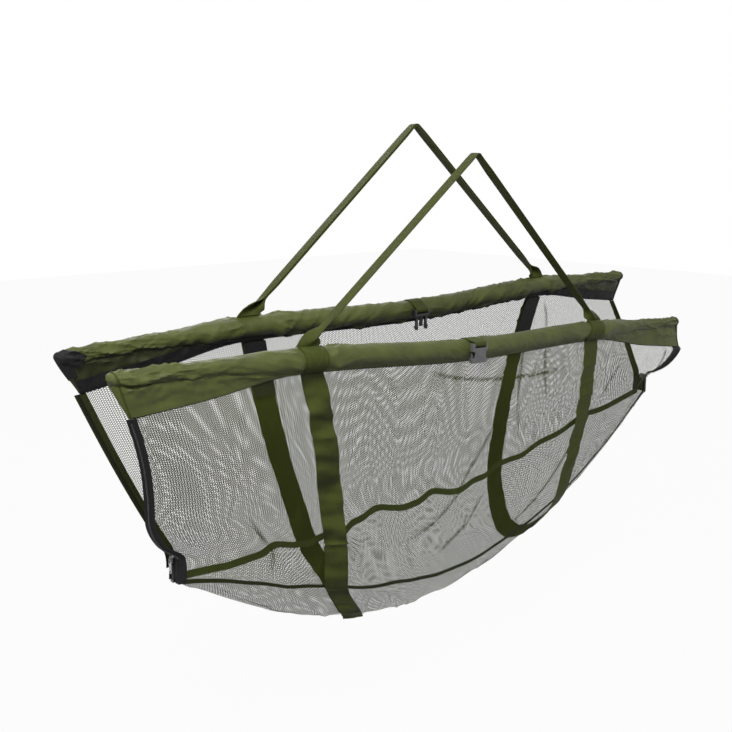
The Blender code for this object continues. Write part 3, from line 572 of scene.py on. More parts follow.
def sleeveFold(side, x, around, flare):
    # how far the cloth stands off its roll, in metres
    s = 0.5 - abs(around - 0.5)
    if s < sleeve["hemShare"]:
        return sleeve["hem"]
    outer = 1 if around < 0.5 else -1
    seed = sleeve["seed"][side]
    lower = 0.35 + 0.65 * smooth((0.36 - s) / 0.14)
    # short slanting gathers along the roll, deeper on its lower half
    slant = x * 52 + outer * s * 9
    gathers = 0.6 * waver(slant, s * 3, seed) + 0.7 * ridge(slant * 0.8, s * 2.4, seed + 5)
    # the crumpled wide ends
    crumple = ridge(x * 19 + s * 4, s * 9, seed + 40) + 0.5 * ridge(x * 43, s * 15 - x * 9, seed + 60)
    # folds that run out from each strap and from the buckle's tab
    pull, strapX, strapHalf = 0, strap["spacing"] / 2, strap["width"] / 2
    for middle, half, strength in ((-strapX, strapHalf, 1), (strapX, strapHalf, 1),
                                   (buckle[side], buckle["half"], buckle["pull"])):
        away = x - middle
        reach = max(0, abs(away) - half)
        fan = ridge(s * 9 - abs(away) * 12 * outer, away * 16, seed + middle * 30)
        pull += strength * math.exp(-reach / 0.034) * fan
    fold = sleeve["gather"][side] * (1 - 0.8 * flare) * lower * gathers
    fold += sleeve["strapPull"] * pull * (1 - 0.5 * flare)
    fold += sleeve["crumple"] * flare * crumple * smooth((s - 0.06) / 0.08)
    fold += sleeve["swell"] * waver(x * 13, s * 4, seed + 20) * smooth(s / 0.1)
    return max(-0.0002, fold) * sewnFlat(side, x)


def sleevePlace(side, along, around, off=0.0, folds=True):
    # along runs from -1 to 1 and a little on to the hood at each end, around from 0 to 1;
    # off is measured out from the cloth
    def point(a, s):
        body = min(1, max(-1, a))
        over = min(1, (abs(a) - abs(body)) / sleeve["hoodShare"])
        r, d, _ = sleeveSize(body)
        closing = math.sqrt(1 - over * over)
        flat = sleeveSection(s, max(0.0006, r * closing), r - d, max(0.0006, sleeve["finHalf"] * closing))
        out = kicked(side, body)
        x = body * (pole["half"] - sleeve["slantShare"] * (1 - out) * (r - flat.y))
        flat.x += sleeve["kick"] * out * ((r - flat.y) / d) ** 2
        ahead = smooth(min(s, 1 - s) / 0.2)
        x += (1 if body > 0 else -1) * over * sleeve["hoodLength"] * ahead
        return railPoint(side, x, flat.x, flat.y)

    here = point(along, around)
    step, limit = 0.004, 1 + sleeve["hoodShare"] * 0.97
    run = point(min(limit, along + step), around) - point(max(-limit, along - step), around)
    turn = point(along, min(1, around + step)) - point(along, max(0, around - step))
    out = run.cross(turn).normalized() * -sides[side]
    x = along * pole["half"]
    inside = smooth((1 - abs(along)) / 0.02)
    standing = sleeveFold(side, x, around, sleeveSize(along)[2]) * inside if folds else 0
    return here + out * (standing + off)


def makeCord(name, points, radius):
    # a round cord along a run of points
    count = len(points) - 1

    def at(u, v):
        k = min(count, round(v * count))
        run = (points[min(count, k + 1)] - points[max(0, k - 1)]).normalized()
        across = run.orthogonal() if abs(run.z) > 0.99 else run.cross(Vector((0, 0, 1)))
        across.normalize()
        up = across.cross(run)
        angle = u * math.tau
        return points[k] + (across * math.cos(angle) + up * math.sin(angle)) * radius

    piece = makeSheet(name, 8, count, at, (math.tau * radius, flatLength(points)))
    editAll(piece)
    bpy.ops.mesh.remove_doubles(threshold=0.000001)
    bpy.ops.mesh.select_all(action="DESELECT")
    bpy.ops.mesh.select_non_manifold()
    bpy.ops.mesh.edge_face_add()
    bpy.ops.object.mode_set(mode="OBJECT")
    turnOutwards(piece)
    return piece


def makeSleeves():
    reach = 1 + sleeve["hoodShare"]
    flat = (2 * pole["half"], 2 * (sleeve["depth"] + sleeve["radius"] * 1.6))
    for side in sides:
        piece = makeSheet(side + "_sleeve_cloth", sleeve["columns"], sleeve["rows"],
                          lambda u, v: sleevePlace(side, (2 * u - 1) * reach, v, -sleeve["wall"] / 2),
                          flat, sleeve["wall"])
        dress(piece, nylon, side + "_rail", [side + "_sleeve"])
        cutArea(
            lambda u, v: sleevePlace(side, (2 * u - 1) * reach, v, folds=False), 120, 60)
    print("sleeves made")


# Sleeve trim: hem tape inside the lower edge, widened at the ends as painted shadow, piping round each end
# and a stitched hem

trim = {"tape": 0.0009, "tapeGap": 0.0004, "tapeEnd": 0.995, "tapeWidth": 0.0022,
        "shadowEndWidth": {"front": 0.008, "back": 0.017}, "widenFrom": 0.45,
        "piping": 0.0011, "pipingEnd": 0.997, "pipingAround": (0.02, 0.98),
        "patch": 0.0008, "patchShare": 0.990, "patchAround": (0.10, 0.88), "patchShadowDip": 0.036,
        "dipAround": 0.68, "dipWidth": 0.09,
        "stitchPitch": 0.0042, "stitch": (0.0026, 0.0005, 0.0004), "stitchIn": 0.0045, "stitchEnd": 0.985}


def hemReach(along, width):
    # how far round the sleeve a width from its lower edge reaches
    radius, depth, _ = sleeveSize(along)
    fin = depth - radius + radius * math.cos(section["rootAngle"])
    edge, root = section["edge"], section["root"]
    if width < fin:
        return mix(edge, root, width / fin)
    return mix(root, 0.5, (width - fin) / (radius * section["rootAngle"]))


def stitchesAlong(line, outs, pitch):
    # a stitch lies along the line at each pitch, flat on the cloth
    size, places = trim["stitch"], []
    for point, run in evenly(line, pitch):
        out = outs[min(range(len(line)), key=lambda k: (line[k] - point).length)]
        places.append((point, (run * size[0], out.cross(run).normalized() * size[1], out * size[2])))
    return places


def sew(name, places, body):
    dress(repeatShape(name, toothShape(), places), thread, body)


def makeSleeveTrim():
    for side in sides:
        rail = side + "_rail"

        def tapeAt(u, v):
            along = mix(-trim["tapeEnd"], trim["tapeEnd"], u)
            # painted shadow: the black tape widens towards the ends, most on the back sleeve, for the roll's
            # shadow there
            wide = smooth((abs(along) - trim["widenFrom"]) / (1 - trim["widenFrom"]) * 1.6)
            width = mix(trim["tapeWidth"], trim["shadowEndWidth"][side], wide)
            inward = trim["tapeGap"] + trim["tape"] / 2
            return sleevePlace(side, along, 1 - hemReach(along, width) * v, inward)

        piece = makeSheet(side + "_hem_tape", 400, 6, tapeAt, (1.19, 0.010), trim["tape"])
        dress(piece, blackTape, rail)
        piping, slot = (blackTape, "black_tape") if side == "back" else (webbing, "olive_webbing")
        for end in ends:
            path = [sleevePlace(side, ends[end] * trim["pipingEnd"], mix(*trim["pipingAround"], k / 90),
                                0.0005, folds=False) for k in range(91)]
            dress(makeCord(f"{side}_{end}_piping", path, trim["piping"]), piping, rail)
        # a black corner patch over the back sleeve's left tip; its deeper reach on the inner side, below the
        # roll, is painted shadow
        if side == "back":
            def patchAt(u, v):
                around = mix(*trim["patchAround"], v)
                dip = math.exp(-((around - trim["dipAround"]) / trim["dipWidth"]) ** 2)
                inner = trim["patchShare"] - trim["patchShadowDip"] * dip
                return sleevePlace("back", -mix(inner, 1 + sleeve["hoodShare"], u), around, 0.0007)

            patch = makeSheet("back_corner_patch", 14, 50, patchAt, (0.03, 0.06), trim["patch"])
            dress(patch, blackTape, rail)
        # stitches along the hem, on the outside
        alongs = [mix(-trim["stitchEnd"], trim["stitchEnd"], k / 300) for k in range(301)]
        line = [sleevePlace(side, along, hemReach(along, trim["stitchIn"]), 0.0009) for along in alongs]
        outs = [Vector((0, sides[side], 0))] * len(line)
        sew(side + "_hem_stitches", stitchesAlong(line, outs, trim["stitchPitch"]), rail)
    print("sleeve trim made")


# Bag: one grid of points read from the three net panels, down the front, under and up the back

bag = {"rows": 20, "columns": 25, "frontSeam": 7, "backSeam": 13, "netThickness": 0.0015,
       "strapColumns": {"left": (5, 6), "right": (18, 19)}}


def outerSkin(nodeName, outwards):
    shell = bmesh.new()
    shell.from_mesh(nodes[nodeName].data)
    bmesh.ops.remove_doubles(shell, verts=shell.verts, dist=0.00001)
    left, skins = set(shell.faces), []
    while left:
        first = left.pop()
        skin, waiting = [first], [first]
        while waiting:
            for edge in waiting.pop().edges:
                if edge.calc_face_angle(math.pi) > math.radians(60):
                    continue
                for face in edge.link_faces:
                    if face in left:
                        left.discard(face)
                        skin.append(face)
                        waiting.append(face)
        skins.append(skin)
    skins = sorted(skins, key=len)[-2:]
    keep = set(max(skins, key=lambda s: sum(f.calc_center_median().dot(outwards) for f in s) / len(s)))
    bmesh.ops.delete(shell, geom=[f for f in shell.faces if f not in keep], context="FACES")
    return shell


def readPanel(nodeName, outwards, corner):
    # rows of points, found by walking from one row of triangles to the next
    shell = outerSkin(nodeName, outwards)
    rim = [v for v in shell.verts if v.is_boundary]
    row = [max(rim, key=lambda v: v.co.dot(corner))]
    seen = set(row)
    for _ in range(bag["columns"]):
        near = [e.other_vert(row[-1]) for e in row[-1].link_edges if e.is_boundary]
        row.append(max((v for v in near if v not in seen), key=lambda v: v.co.x + corner.z * v.co.z))
        seen.add(row[-1])
    rows = [row]
    while True:
        below = {e.other_vert(v) for v in row for e in v.link_edges} - seen
        if not below:
            break
        row = sorted(below, key=lambda v: v.co.x)
        seen |= below
        rows.append(row)
    points = [[v.co.copy() for v in row] for row in rows]
    shell.free()
    return points


def readBag():
    front = readPanel("front_net_panel", Vector((0, -1, 0)), Vector((-1, 0, 1)))
    back = readPanel("back_net_panel", Vector((0, 1, 0)), Vector((-1, 0, 1)))
    under = readPanel("bottom_net_panel", Vector((0, 0, -1)), Vector((-1, -1, 0)))
    back.reverse()
    meet = [[(a + b) / 2 for a, b in zip(p, q)] for p, q in ((front[-1], under[0]), (under[-1], back[0]))]
    grid = front[:-1] + [meet[0]] + under[1:-1] + [meet[1]] + back[1:]
    return np.array([[tuple(p) for p in row] for row in grid])


def easeCorners(grid):
    # the left edges run more evenly into the closed zip
    for row in (5, bag["rows"] - 5):
        for column, share in ((0, 0.45), (1, 0.4), (2, 0.2)):
            even = (grid[row - 1, column] + grid[row + 1, column]) / 2
            grid[row, column] += (even - grid[row, column]) * share
    return grid


# how far the corner stands out, and the share of that and the drop of each row below it
frontCorner = {"firstColumn": 20, "right": 0.021, "forward": 0.011,
               "rows": ((1.0, 0), (1.3, 0.002), (1.25, 0.006), (1.05, 0.010), (0.77, 0.010), (0.3, 0.006))}


def kickCorner(grid):
    # the front panel's right edge follows the square end of its sleeve, and bows out below it
    right, forward = frontCorner["right"], frontCorner["forward"]
    for column in range(frontCorner["firstColumn"], bag["columns"] + 1):
        out = kicked("front", column * 2 / bag["columns"] - 1)
        for row, (share, drop) in enumerate(frontCorner["rows"]):
            grid[row, column] += np.array((right * share, -forward * share, -drop)) * out
    return grid


bagGrid = kickCorner(easeCorners(readBag()))
print("bag read:", bagGrid.shape)


def curveWeights(t):
    return np.array([-t + 2 * t * t - t ** 3, 2 - 5 * t * t + 3 * t ** 3, t + 4 * t * t - 3 * t ** 3,
                     t ** 3 - t * t]) / 2


def padded(grid):
    tall = np.concatenate([2 * grid[:1] - grid[1:2], grid, 2 * grid[-1:] - grid[-2:-1]])
    return np.concatenate([2 * tall[:, :1] - tall[:, 1:2], tall, 2 * tall[:, -1:] - tall[:, -2:-1]], axis=1)


bagPadded = padded(bagGrid)


def bagSmooth(column, row):
    # a smooth point between the grid's points; a little past an edge runs straight on
    c = min(max(int(math.floor(column)), 0), bag["columns"] - 1)
    r = min(max(int(math.floor(row)), 0), bag["rows"] - 1)
    patch = bagPadded[r:r + 4, c:c + 4]
    return Vector(np.einsum("i,j,ijk->k", curveWeights(row - r), curveWeights(column - c), patch))


def bagPlace(column, row, off=0.0):
    # off is measured outwards from the outer face of the net
    here = bagSmooth(column, row)
    step = 0.05
    run = bagSmooth(min(column + step, bag["columns"]), row) - bagSmooth(max(column - step, 0), row)
    down = bagSmooth(column, min(row + step, bag["rows"])) - bagSmooth(column, max(row - step, 0))
    return here + down.cross(run).normalized() * off


def flatLength(points):
    return sum((b - a).length for a, b in zip(points, points[1:]))


def flatSize(at, columns=20):
    # how wide and long a sheet is along its two middle lines
    return (flatLength([at(k / columns, 0.5) for k in range(columns + 1)]),
            flatLength([at(0.5, k / 20) for k in range(21)]))


def cutArea(at, columns=60, rows=20):
    # area of a sheet, summed over a grid of small quads; the sleeves' calls give their shape without folds
    area = 0
    for j in range(columns):
        for k in range(rows):
            a, b = at(j / columns, k / rows), at((j + 1) / columns, k / rows)
            c, d = at((j + 1) / columns, (k + 1) / rows), at(j / columns, (k + 1) / rows)
            area += (c - a).cross(d - b).length / 2
    return area


# The net and straps: the bottom parts go with the bag, and the front and back parts stay where they are
# placed


def hang(piece, part):
    if part not in sides:
        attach(piece, "bag")
        return
    hinge = joints[part + "_rail_swing"]
    up = Vector(hinge["axis"]).cross(Vector((0, 1, 0)))
    up = up if up.z > 0 else -up
    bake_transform(piece)


bagParts = {"front": (0, bag["frontSeam"]), "bottom": (bag["frontSeam"], bag["backSeam"]),
            "back": (bag["backSeam"], bag["rows"])}


def bagLayer(name, part, columns, rows, cells, off, thickness, mat, replaced=(), ripple=None):
    # a sheet sewn on the bag, between two columns and two rows of its grid
    def at(u, v):
        column, row = mix(*columns, u), mix(*rows, v)
        return bagPlace(column, row, off + (ripple(u, v) if ripple else 0))

    piece = makeSheet(name, *cells, at, flatSize(at), thickness)
    dress(piece, mat, None, replaced)
    hang(piece, part)


netFold = {"height": 0.0016, "crease": 0.0030, "tuck": 0.06, "cells": (360, 84), "lineWidth": 0.0019,
           "lineHeight": 0.0010, "seed": {"front": 2.1, "bottom": 5.2, "back": 8.4}}
# long folds in the net, each through a few of the grid's columns and rows
foldLines = {"front": [[(10, 0.25), (11.2, 0.5), (12.6, 0.7), (15, 0.9), (17.4, 1.0)],
                       [(13.6, 1.8), (12, 3.5), (10.6, 4.9), (8.4, 5.8)],
                       [(12.8, 4.6), (11.8, 5.7), (10.4, 6.4)],
                       [(23.6, 0.3), (23.8, 3.0), (24.0, 6.3)], [(20.8, 1.3), (19.8, 3.1)],
                       [(3.0, 4.2), (3.4, 5.6), (3.3, 6.6)], [(5.2, 5.6), (4.6, 6.7)]],
             "bottom": [[(22.2, 12.8), (21, 11.2), (19.4, 10.3), (18, 10.8)],
                        [(24.4, 9.9), (22.6, 8.7), (21, 8.2)], [(1.6, 7.8), (3.2, 9.0), (5.0, 9.4)]],
             "back": [[(19.4, 19.8), (20, 18.4), (20.6, 14.8)], [(18.3, 19.8), (19, 17.6), (19.6, 13.5)]]}
seams = {"front": {"row": 7, "wander": 0.07, "halfWidth": 0.0032},
         "back": {"row": 13, "wander": 0.17, "halfWidth": 0.0054}}


def seamRow(side, column):
    # each seam wanders a little up and down between the bag's ends
    row = seams[side]["row"]
    fade = smooth(column / 3.5) * smooth((bag["columns"] - column) / 3.5)
    x = bagSmooth(column, row).x
    wave = waver(x * 11, row, 0.5) + 0.4 * waver(x * 25, row, 3.5)
    return row + 2 * seams[side]["wander"] * wave * fade


def softLine(points, steps=8):
    # a smooth run of spots through a few points
    points = [np.array(p, float) for p in points]
    run = [2 * points[0] - points[1]] + points + [2 * points[-1] - points[-2]]
    curved = [curveWeights(s / steps) @ np.array(run[k:k + 4])
              for k in range(len(points) - 1) for s in range(steps)]
    return np.array(curved + [points[-1]])


foldRuns = {part: [softLine(line) for line in lines] for part, lines in foldLines.items()}
cellSize = np.array((0.048, 0.040))  # one cell of the bag's grid, in metres


def netRows(part, column):
    # the upper edges are caught between the two fins of their sleeves
    if part == "front":
        return -netFold["tuck"], seamRow("front", column)
    if part == "back":
        return seamRow("back", column), bag["rows"] + netFold["tuck"]
    return seamRow("front", column), seamRow("back", column)


def foldGrid(part, across, down):
    # how close each point of the net's grid lies to a fold line: 1 on it, 0 away from it and at its ends
    columns = np.linspace(0, bag["columns"], across + 1)
    edges = np.array([netRows(part, column) for column in columns])
    rows = edges[:, :1] + (edges[:, 1:] - edges[:, :1]) * np.linspace(0, 1, down + 1)
    spots = np.stack([np.broadcast_to(columns[:, None], rows.shape), rows], axis=-1) * cellSize
    most = np.zeros(rows.shape)
    for run in foldRuns[part]:
        run = run * cellSize
        step = run[1:] - run[:-1]
        away = spots[:, :, None] - run[:-1]
        share = np.clip((away * step).sum(-1) / (step ** 2).sum(-1), 0, 1)
        near = np.hypot(*np.moveaxis(away - share[..., None] * step, -1, 0))
        first = near.argmin(-1)
        reach = (first + np.take_along_axis(share, first[..., None], -1)[..., 0]) / len(step)
        taper = np.clip(np.minimum(reach, 1 - reach) / 0.2, 0, 1)
        most = np.maximum(most, np.exp(-(near.min(-1) / netFold["lineWidth"]) ** 2) * taper)
    return most


def netStand(part, u, v, folded):
    # soft ripples, and sharper folds that hang from the upper edge
    seed = netFold["seed"][part]
    soft = waver(u * 20, v * 2.2, seed) + 0.15 * waver(u * 44, v * 3, seed)
    fold = ridge(u * 21 + v * 1.5, v * 1.6, seed + 9) ** 3
    edge = smooth(v / 0.15) * smooth((1 - v) / 0.15) * smooth(u / 0.05) * smooth((1 - u) / 0.05)
    return (netFold["height"] * soft + netFold["crease"] * fold + netFold["lineHeight"] * folded) * edge


def makeNet():
    across, down = netFold["cells"]
    for part in bagParts:
        near, folds = foldGrid(part, across, down), []

        def at(u, v):
            column = u * bag["columns"]
            row = mix(*netRows(part, column), v)
            folds.append(float(near[round(u * across), round(v * down)]))
            return bagPlace(column, row, netStand(part, u, v, folds[-1]) - bag["netThickness"] / 2)

        flat = flatSize(at, 40)
        folds.clear()
        piece = makeSheet(part + "_net", across, down, at, flat)
        piece.data.attributes.new("fold", "FLOAT", "POINT").data.foreach_set("value", folds)
        dress(piece, net, None, [part + "_net_panel"])
        hang(piece, part)
        cutArea(at)
    print("net made")


# the straps in the crease list take the webbing with painted shade
belly = {"gap": 0.0005, "ripple": 0.0022, "looseRipple": 0.0042, "loose": ("left", "front"),
         "creaseShade": (("left", "front"), ("left", "bottom")), "mouthShade": 0.0011, "mouthShadeRows": (18.1, 19.95)}


def strapRipple(height, seed):
    def ripple(u, v):
        wave = waver(v * 9, u * 0.6, seed) + 0.9 * ridge(v * 11, u * 0.5, seed + 2)
        return height * (0.4 + wave) * smooth(v / 0.08) * smooth((1 - v) / 0.08)

    return ripple


def makeBellyStraps():
    for end in ends:
        columns = bag["strapColumns"][end]
        for part, rows in bagParts.items():
            off = belly["gap"] + strap["thickness"] / 2
            height = belly["looseRipple" if (end, part) == belly["loose"] else "ripple"]
            # painted shade in bands on the listed straps
            mat = webbingWithCreaseShade if (end, part) in belly["creaseShade"] else webbing
            replaced = [end + "_belly_strap"] if part == "bottom" else []
            bagLayer(f"{end}_{part}_strap", part, columns, rows, (8, 90), off, strap["thickness"], mat,
                     replaced, strapRipple(height, ends[end] * 4.4 + rows[0]))
        # painted shade: a black sheet on the inside of each back strap's top, for the shade inside the mouth
        inward = -(bag["netThickness"] + belly["gap"] + belly["mouthShade"] / 2)
        bagLayer(end + "_facing", "back", columns, belly["mouthShadeRows"], (8, 20), inward, belly["mouthShade"],
                 blackTape)
    print("belly straps made")


# Seam bindings, on the inside of the bag

binding = {"thickness": 0.0011, "gap": 0.0005, "bulge": 0.0004}


def makeBindings():
    for side, mat in (("front", blackTape), ("back", oliveTape)):
        inward = -(bag["netThickness"] + binding["gap"] + binding["thickness"] / 2)
        half = seams[side]["halfWidth"]

        def at(u, v):
            column = mix(0, bag["columns"], v)
            seam = seamRow(side, column)
            here = bagPlace(column, seam, inward)
            away = (u - 0.5) * 2
            beside = bagPlace(column, seam + (0.2 if away > 0 else -0.2), inward)
            bulge = binding["bulge"] * math.cos(away * math.pi / 2)
            inwards = (bagPlace(column, seam, inward - 0.001) - here).normalized()
            return here + (beside - here).normalized() * abs(away) * half + inwards * bulge

        piece = makeSheet(side + "_binding", 6, 360, at, (2 * half, 2 * pole["half"]), binding["thickness"])
        dress(piece, mat, "bag", [side + "_seam_binding"])
    print("bindings made")


# Zips

zipTape = {"thickness": 0.0011, "gap": 0.0005, "outside": 0.2, "inside": 0.9, "binding": 0.0008,
           "bindingShare": 0.42}
tooth = {"pitch": 0.0017, "across": 0.0030, "along": 0.0010, "high": 0.0011, "placeShare": 0.2,
         "firstRow": 0.12, "lastRow": 6}


def zipColumns(end):
    # a tape's outer edge stands a little beyond the net's
    outside, inside = zipTape["outside"], zipTape["inside"]
    return (-outside, inside) if end == "left" else (bag["columns"] + outside, bag["columns"] - inside)


def makeZipTapes():
    for end in ends:
        edge, inner = zipColumns(end)
        for side in sides:
            off = zipTape["gap"] + zipTape["thickness"] / 2
            bagLayer(f"{end}_{side}_tape", side, (edge, inner), bagParts[side], (6, 90), off,
                     zipTape["thickness"], blackTape, [f"{end}_{side}_zip_tape"])
        # a dark olive binding runs down the inside of the back panel's edge
        inward = -(bag["netThickness"] + zipTape["gap"] + zipTape["binding"] / 2)
        columns = (mix(edge, inner, -0.08), mix(edge, inner, zipTape["bindingShare"]))
        bagLayer(end + "_back_edge", "back", columns, (13.5, 20), (4, 90), inward, zipTape["binding"],
                 edgeTape)
    print("zip tapes made")


def toothShape():
    # one tooth, modelled once: a bead pulled long across the zip
    pick()
    bpy.ops.mesh.primitive_uv_sphere_add(segments=8, ring_count=5, radius=0.5)
    piece = bpy.context.object
    points = np.array([tuple(v.co) for v in piece.data.vertices])
    faces = [tuple(p.vertices) for p in piece.data.polygons]
    bpy.data.objects.remove(piece)
    return points, faces


def repeatShape(name, shape, places):
    # copies of one shape, each with its own three axes and centre, in one piece
    points, faces = shape
    verts, polygons = [], []
    for centre, axes in places:
        start = len(verts)
        turned = points @ np.array([tuple(a) for a in axes]) + np.array(tuple(centre))
        verts += [tuple(p) for p in turned]
        polygons += [tuple(k + start for k in face) for face in faces]
    mesh = bpy.data.meshes.new(name)
    mesh.from_pydata(verts, [], polygons)
    piece = bpy.data.objects.new(name, mesh)
    bpy.context.scene.collection.objects.link(piece)
    turnOutwards(piece)
    smoothShade(piece, 60)
    return piece


def evenly(points, pitch):
    # places and directions one pitch apart along a run of points
    found, rest = [], 0.0
    for a, b in zip(points, points[1:]):
        length = (b - a).length
        at = rest
        while at < length:
            found.append((a.lerp(b, at / length), (b - a).normalized()))
            at += pitch
        rest = at - length
    return found


def makeZipTeeth():
    bead = toothShape()
    off = zipTape["thickness"] + 2 * zipTape["gap"] + tooth["high"] / 2
    for end in ends:
        column = mix(*zipColumns(end), tooth["placeShare"])
        for side in sides:
            start, stop = bagParts[side] if side == "front" else reversed(bagParts[side])
            sign = 1 if stop > start else -1
            rows = [start + sign * (tooth["firstRow"] + (tooth["lastRow"] - tooth["firstRow"]) * k / 80)
                    for k in range(81)]
            path = [bagPlace(column, row, off) for row in rows]
            normals = [(bagPlace(column, row, off + 0.001) - p).normalized() for row, p in zip(rows, path)]
            places = []
            for point, run in evenly(path, tooth["pitch"]):
                out = normals[min(range(len(path)), key=lambda k: (path[k] - point).length)]
                across = run.cross(out).normalized()
                places.append((point, (across * tooth["across"], run * tooth["along"], out * tooth["high"])))
            piece = repeatShape(f"{end}_{side}_teeth", bead, places)
            dress(piece, blackPlastic, None, [f"{end}_{side}_zip_coil"])
            hang(piece, side)
    print("zip teeth made")


closedZip = {"halfWidth": 0.0105, "tape": 0.0011, "tooth": (0.0034, 0.0012, 0.0013), "apart": 0.0009,
             "keep": 0.17}


def makeChains():
    # the closed zip under each slider: the two tapes edge to edge and their meshed teeth
    bead = toothShape()
    for end in ends:
        low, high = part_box(end + "_zip_chain")
        middle = (low + high) / 2
        wide = closedZip["halfWidth"]
        level = (low.x if ends[end] > 0 else high.x) + ends[end] * 0.0006

        def at(u, v):
            away = 2 * u - 1
            raised = 0.0004 * math.exp(-(away * 4) ** 2)
            return Vector((level + ends[end] * raised, middle.y + away * wide, mix(low.z, high.z, v)))

        tape = makeSheet(end + "_chain_tape", 16, 24, at, (2 * wide, high.z - low.z), closedZip["tape"])
        dress(tape, blackTape, "bag", [end + "_zip_chain"])
        places = []
        count = int((high.z - low.z) / tooth["pitch"] * 2)
        across, along, out = closedZip["tooth"]
        axes = (Vector((0, across, 0)), Vector((0, 0, along)), Vector((ends[end] * out, 0, 0)))
        for k in range(count):
            z = mix(low.z + 0.001, high.z - 0.0006, k / (count - 1))
            shift = (1 if k % 2 else -1) * closedZip["apart"]
            places.append((Vector((level + ends[end] * 0.0014, middle.y + shift, z)), axes))
        teeth = repeatShape(end + "_chain_teeth", bead, places)
        dress(teeth, blackPlastic, "bag")
        for piece in (tape, teeth):
            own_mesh(piece)
    print("closed zips made")


def makeSliders():
    for end in ends:
        for part, name, edge, mat, body in (("_zip_slider", "_slider", 0.0004, gunmetal, end + "_slider"),
                                            ("_zip_pull", "_pull", 0.0002, nickel, end + "_pull"),
                                            ("_zip_stop", "_stop", 0.0004, gunmetal, "bag")):
            dress(copyNode(end + part, end + name, edge), mat, body, [end + part])
    print("sliders made")


# Bands: webbing over each sleeve, sewn with a box and a cross

band = {"gap": 0.0004, "lowAround": 0.085, "edgeRound": 0.0003, "stitchPitch": 0.0034, "stitchInset": 0.13,
        "stitchTop": 0.86, "stitchLift": 0.0003}


def strapShare(end, u):
    x = ends[end] * strap["spacing"] / 2 + (u - 0.5) * strap["width"]
    return x / (pole["half"] - sleeve["slantShare"] * sleeve["depth"] / 2)


def makeBands():
    for side in sides:
        for end in ends:
            def at(u, v, off=band["gap"] + strap["thickness"] / 2):
                return sleevePlace(side, strapShare(end, u), mix(band["lowAround"], 0.5, v), off, folds=False)

            flat = (strap["width"], flatSize(at)[1])
            piece = makeSheet(f"{side}_{end}_band", 8, 40, at, flat, strap["thickness"], band["edgeRound"])
            dress(piece, webbing, side + "_rail", [f"{side}_{end}_strap_band"])
            # the stitches follow a box and its two diagonals
            low, high, boxTop = band["stitchInset"], 1 - band["stitchInset"], band["stitchTop"]
            corners = [(low, low * 0.6), (high, low * 0.6), (high, boxTop), (low, boxTop)]
            top = band["gap"] + strap["thickness"] + band["stitchLift"]
            places = []
            for a, b in ((0, 1), (1, 2), (2, 3), (3, 0), (0, 2), (1, 3)):
                spots = [[mix(p, q, k / 30) for p, q in zip(corners[a], corners[b])] for k in range(31)]
                line = [at(*spot, top) for spot in spots]
                outs = [(at(*spot, top + 0.001) - point).normalized() for spot, point in zip(spots, line)]
                places += stitchesAlong(line, outs, band["stitchPitch"])
            sew(f"{side}_{end}_band_stitches", places, side + "_rail")
    print("bands made")


# Handles: webbing that stands open on the sleeve and is folded double for the grip

handle = {"footSpacing": 0.6475, "openWidth": 0.038, "gripWidth": 0.032, "topWidth": 0.026, "foldOver": 0.036,
          "neckWidth": 0.024, "easing": 0.03, "foldedAngle": 1.5, "tuck": 0.0016, "tuckEnd": 0.01,
          "bow": 0.004, "bendRadius": 0.005, "flat": 0.002,
          "apex": {"front": -0.023, "back": 0.023}, "ply": 0.0015}


def handleLine(side, end):
    # centre line of one leg, from its foot to the middle of the top
    hinge = joints[side + "_handle_fold"]
    axis = Vector(hinge["axis"])
    axis = axis if axis.x > 0 else -axis
    foot = Vector(hinge["pos_m"]) + axis * (ends[end] * 0.5 * handle["footSpacing"])
    radius = handle["bendRadius"]
    bend = Vector((ends[end] * handle["flat"] / 2, foot.y, handle["apex"][side] + handle["ply"] - radius))
    run = foot - bend
    lean = math.atan2(-run.z, abs(run.x)) + math.asin(radius / math.hypot(run.x, run.z))

    def onBend(angle):
        return bend + Vector((ends[end] * math.sin(angle), 0, math.cos(angle))) * radius

    touch = onBend(lean)
    points = [foot.lerp(touch, smooth(k / 60) * 0.3 + k / 60 * 0.7) for k in range(61)]
    return points + [onBend(lean * (1 - k / 8)) for k in range(1, 9)], axis


def makeHandles():
    for side in sides:
        (left, axis), (right, _) = handleLine(side, "left"), handleLine(side, "right")
        line = left + right[::-1]
        count = len(line)
        opening = Vector((0, -sides[side], 0))
        travelled = [flatLength(line[:k + 1]) for k in range(count)]
        total = travelled[-1]

        def at(u, v):
            k = min(count - 1, round(v * (count - 1)))
            run = (line[min(count - 1, k + 1)] - line[max(0, k - 1)]).normalized()
            fromFoot = min(travelled[k], total - travelled[k])
            fold = smooth(fromFoot / handle["foldOver"])
            level = run.cross(opening).normalized()
            if level.dot(axis) < 0:
                level = -level
            level = axis.lerp(level, fold).normalized()
            width = mix(handle["openWidth"], handle["neckWidth"], fold)
            pastFold = smooth((fromFoot - handle["foldOver"]) / handle["easing"])
            width = mix(width, handle["gripWidth"], pastFold)
            width = mix(handle["topWidth"], width, smooth((total / 2 - fromFoot) / handle["easing"]))
            angle = math.radians(mix(90, handle["foldedAngle"], fold))
            away = (u - 0.5) * width
            outer = level * (1 if away > 0 else -1)
            wing = opening * math.cos(angle) + outer * math.sin(angle)
            start = line[k] - opening * width / 4 * fold + outer * handle["ply"] * 0.56 * fold
            # the opened foot bows out, and its lower edge lies over the roll
            bow = opening * -handle["bow"] * math.sin(math.pi * min(1, fromFoot / handle["easing"]))
            down = Vector((0, 0, -handle["tuck"] * smooth(1 - fromFoot / handle["tuckEnd"])))
            return start + wing * abs(away) + bow * (1 - abs(away) * 40) * (1 - fold) + down

        piece = makeSheet(side + "_grip", 14, count - 1, at, (handle["openWidth"], total), handle["ply"])
        dress(piece, webbing, side + "_handle", [side + "_handle"])
    print("handles made")
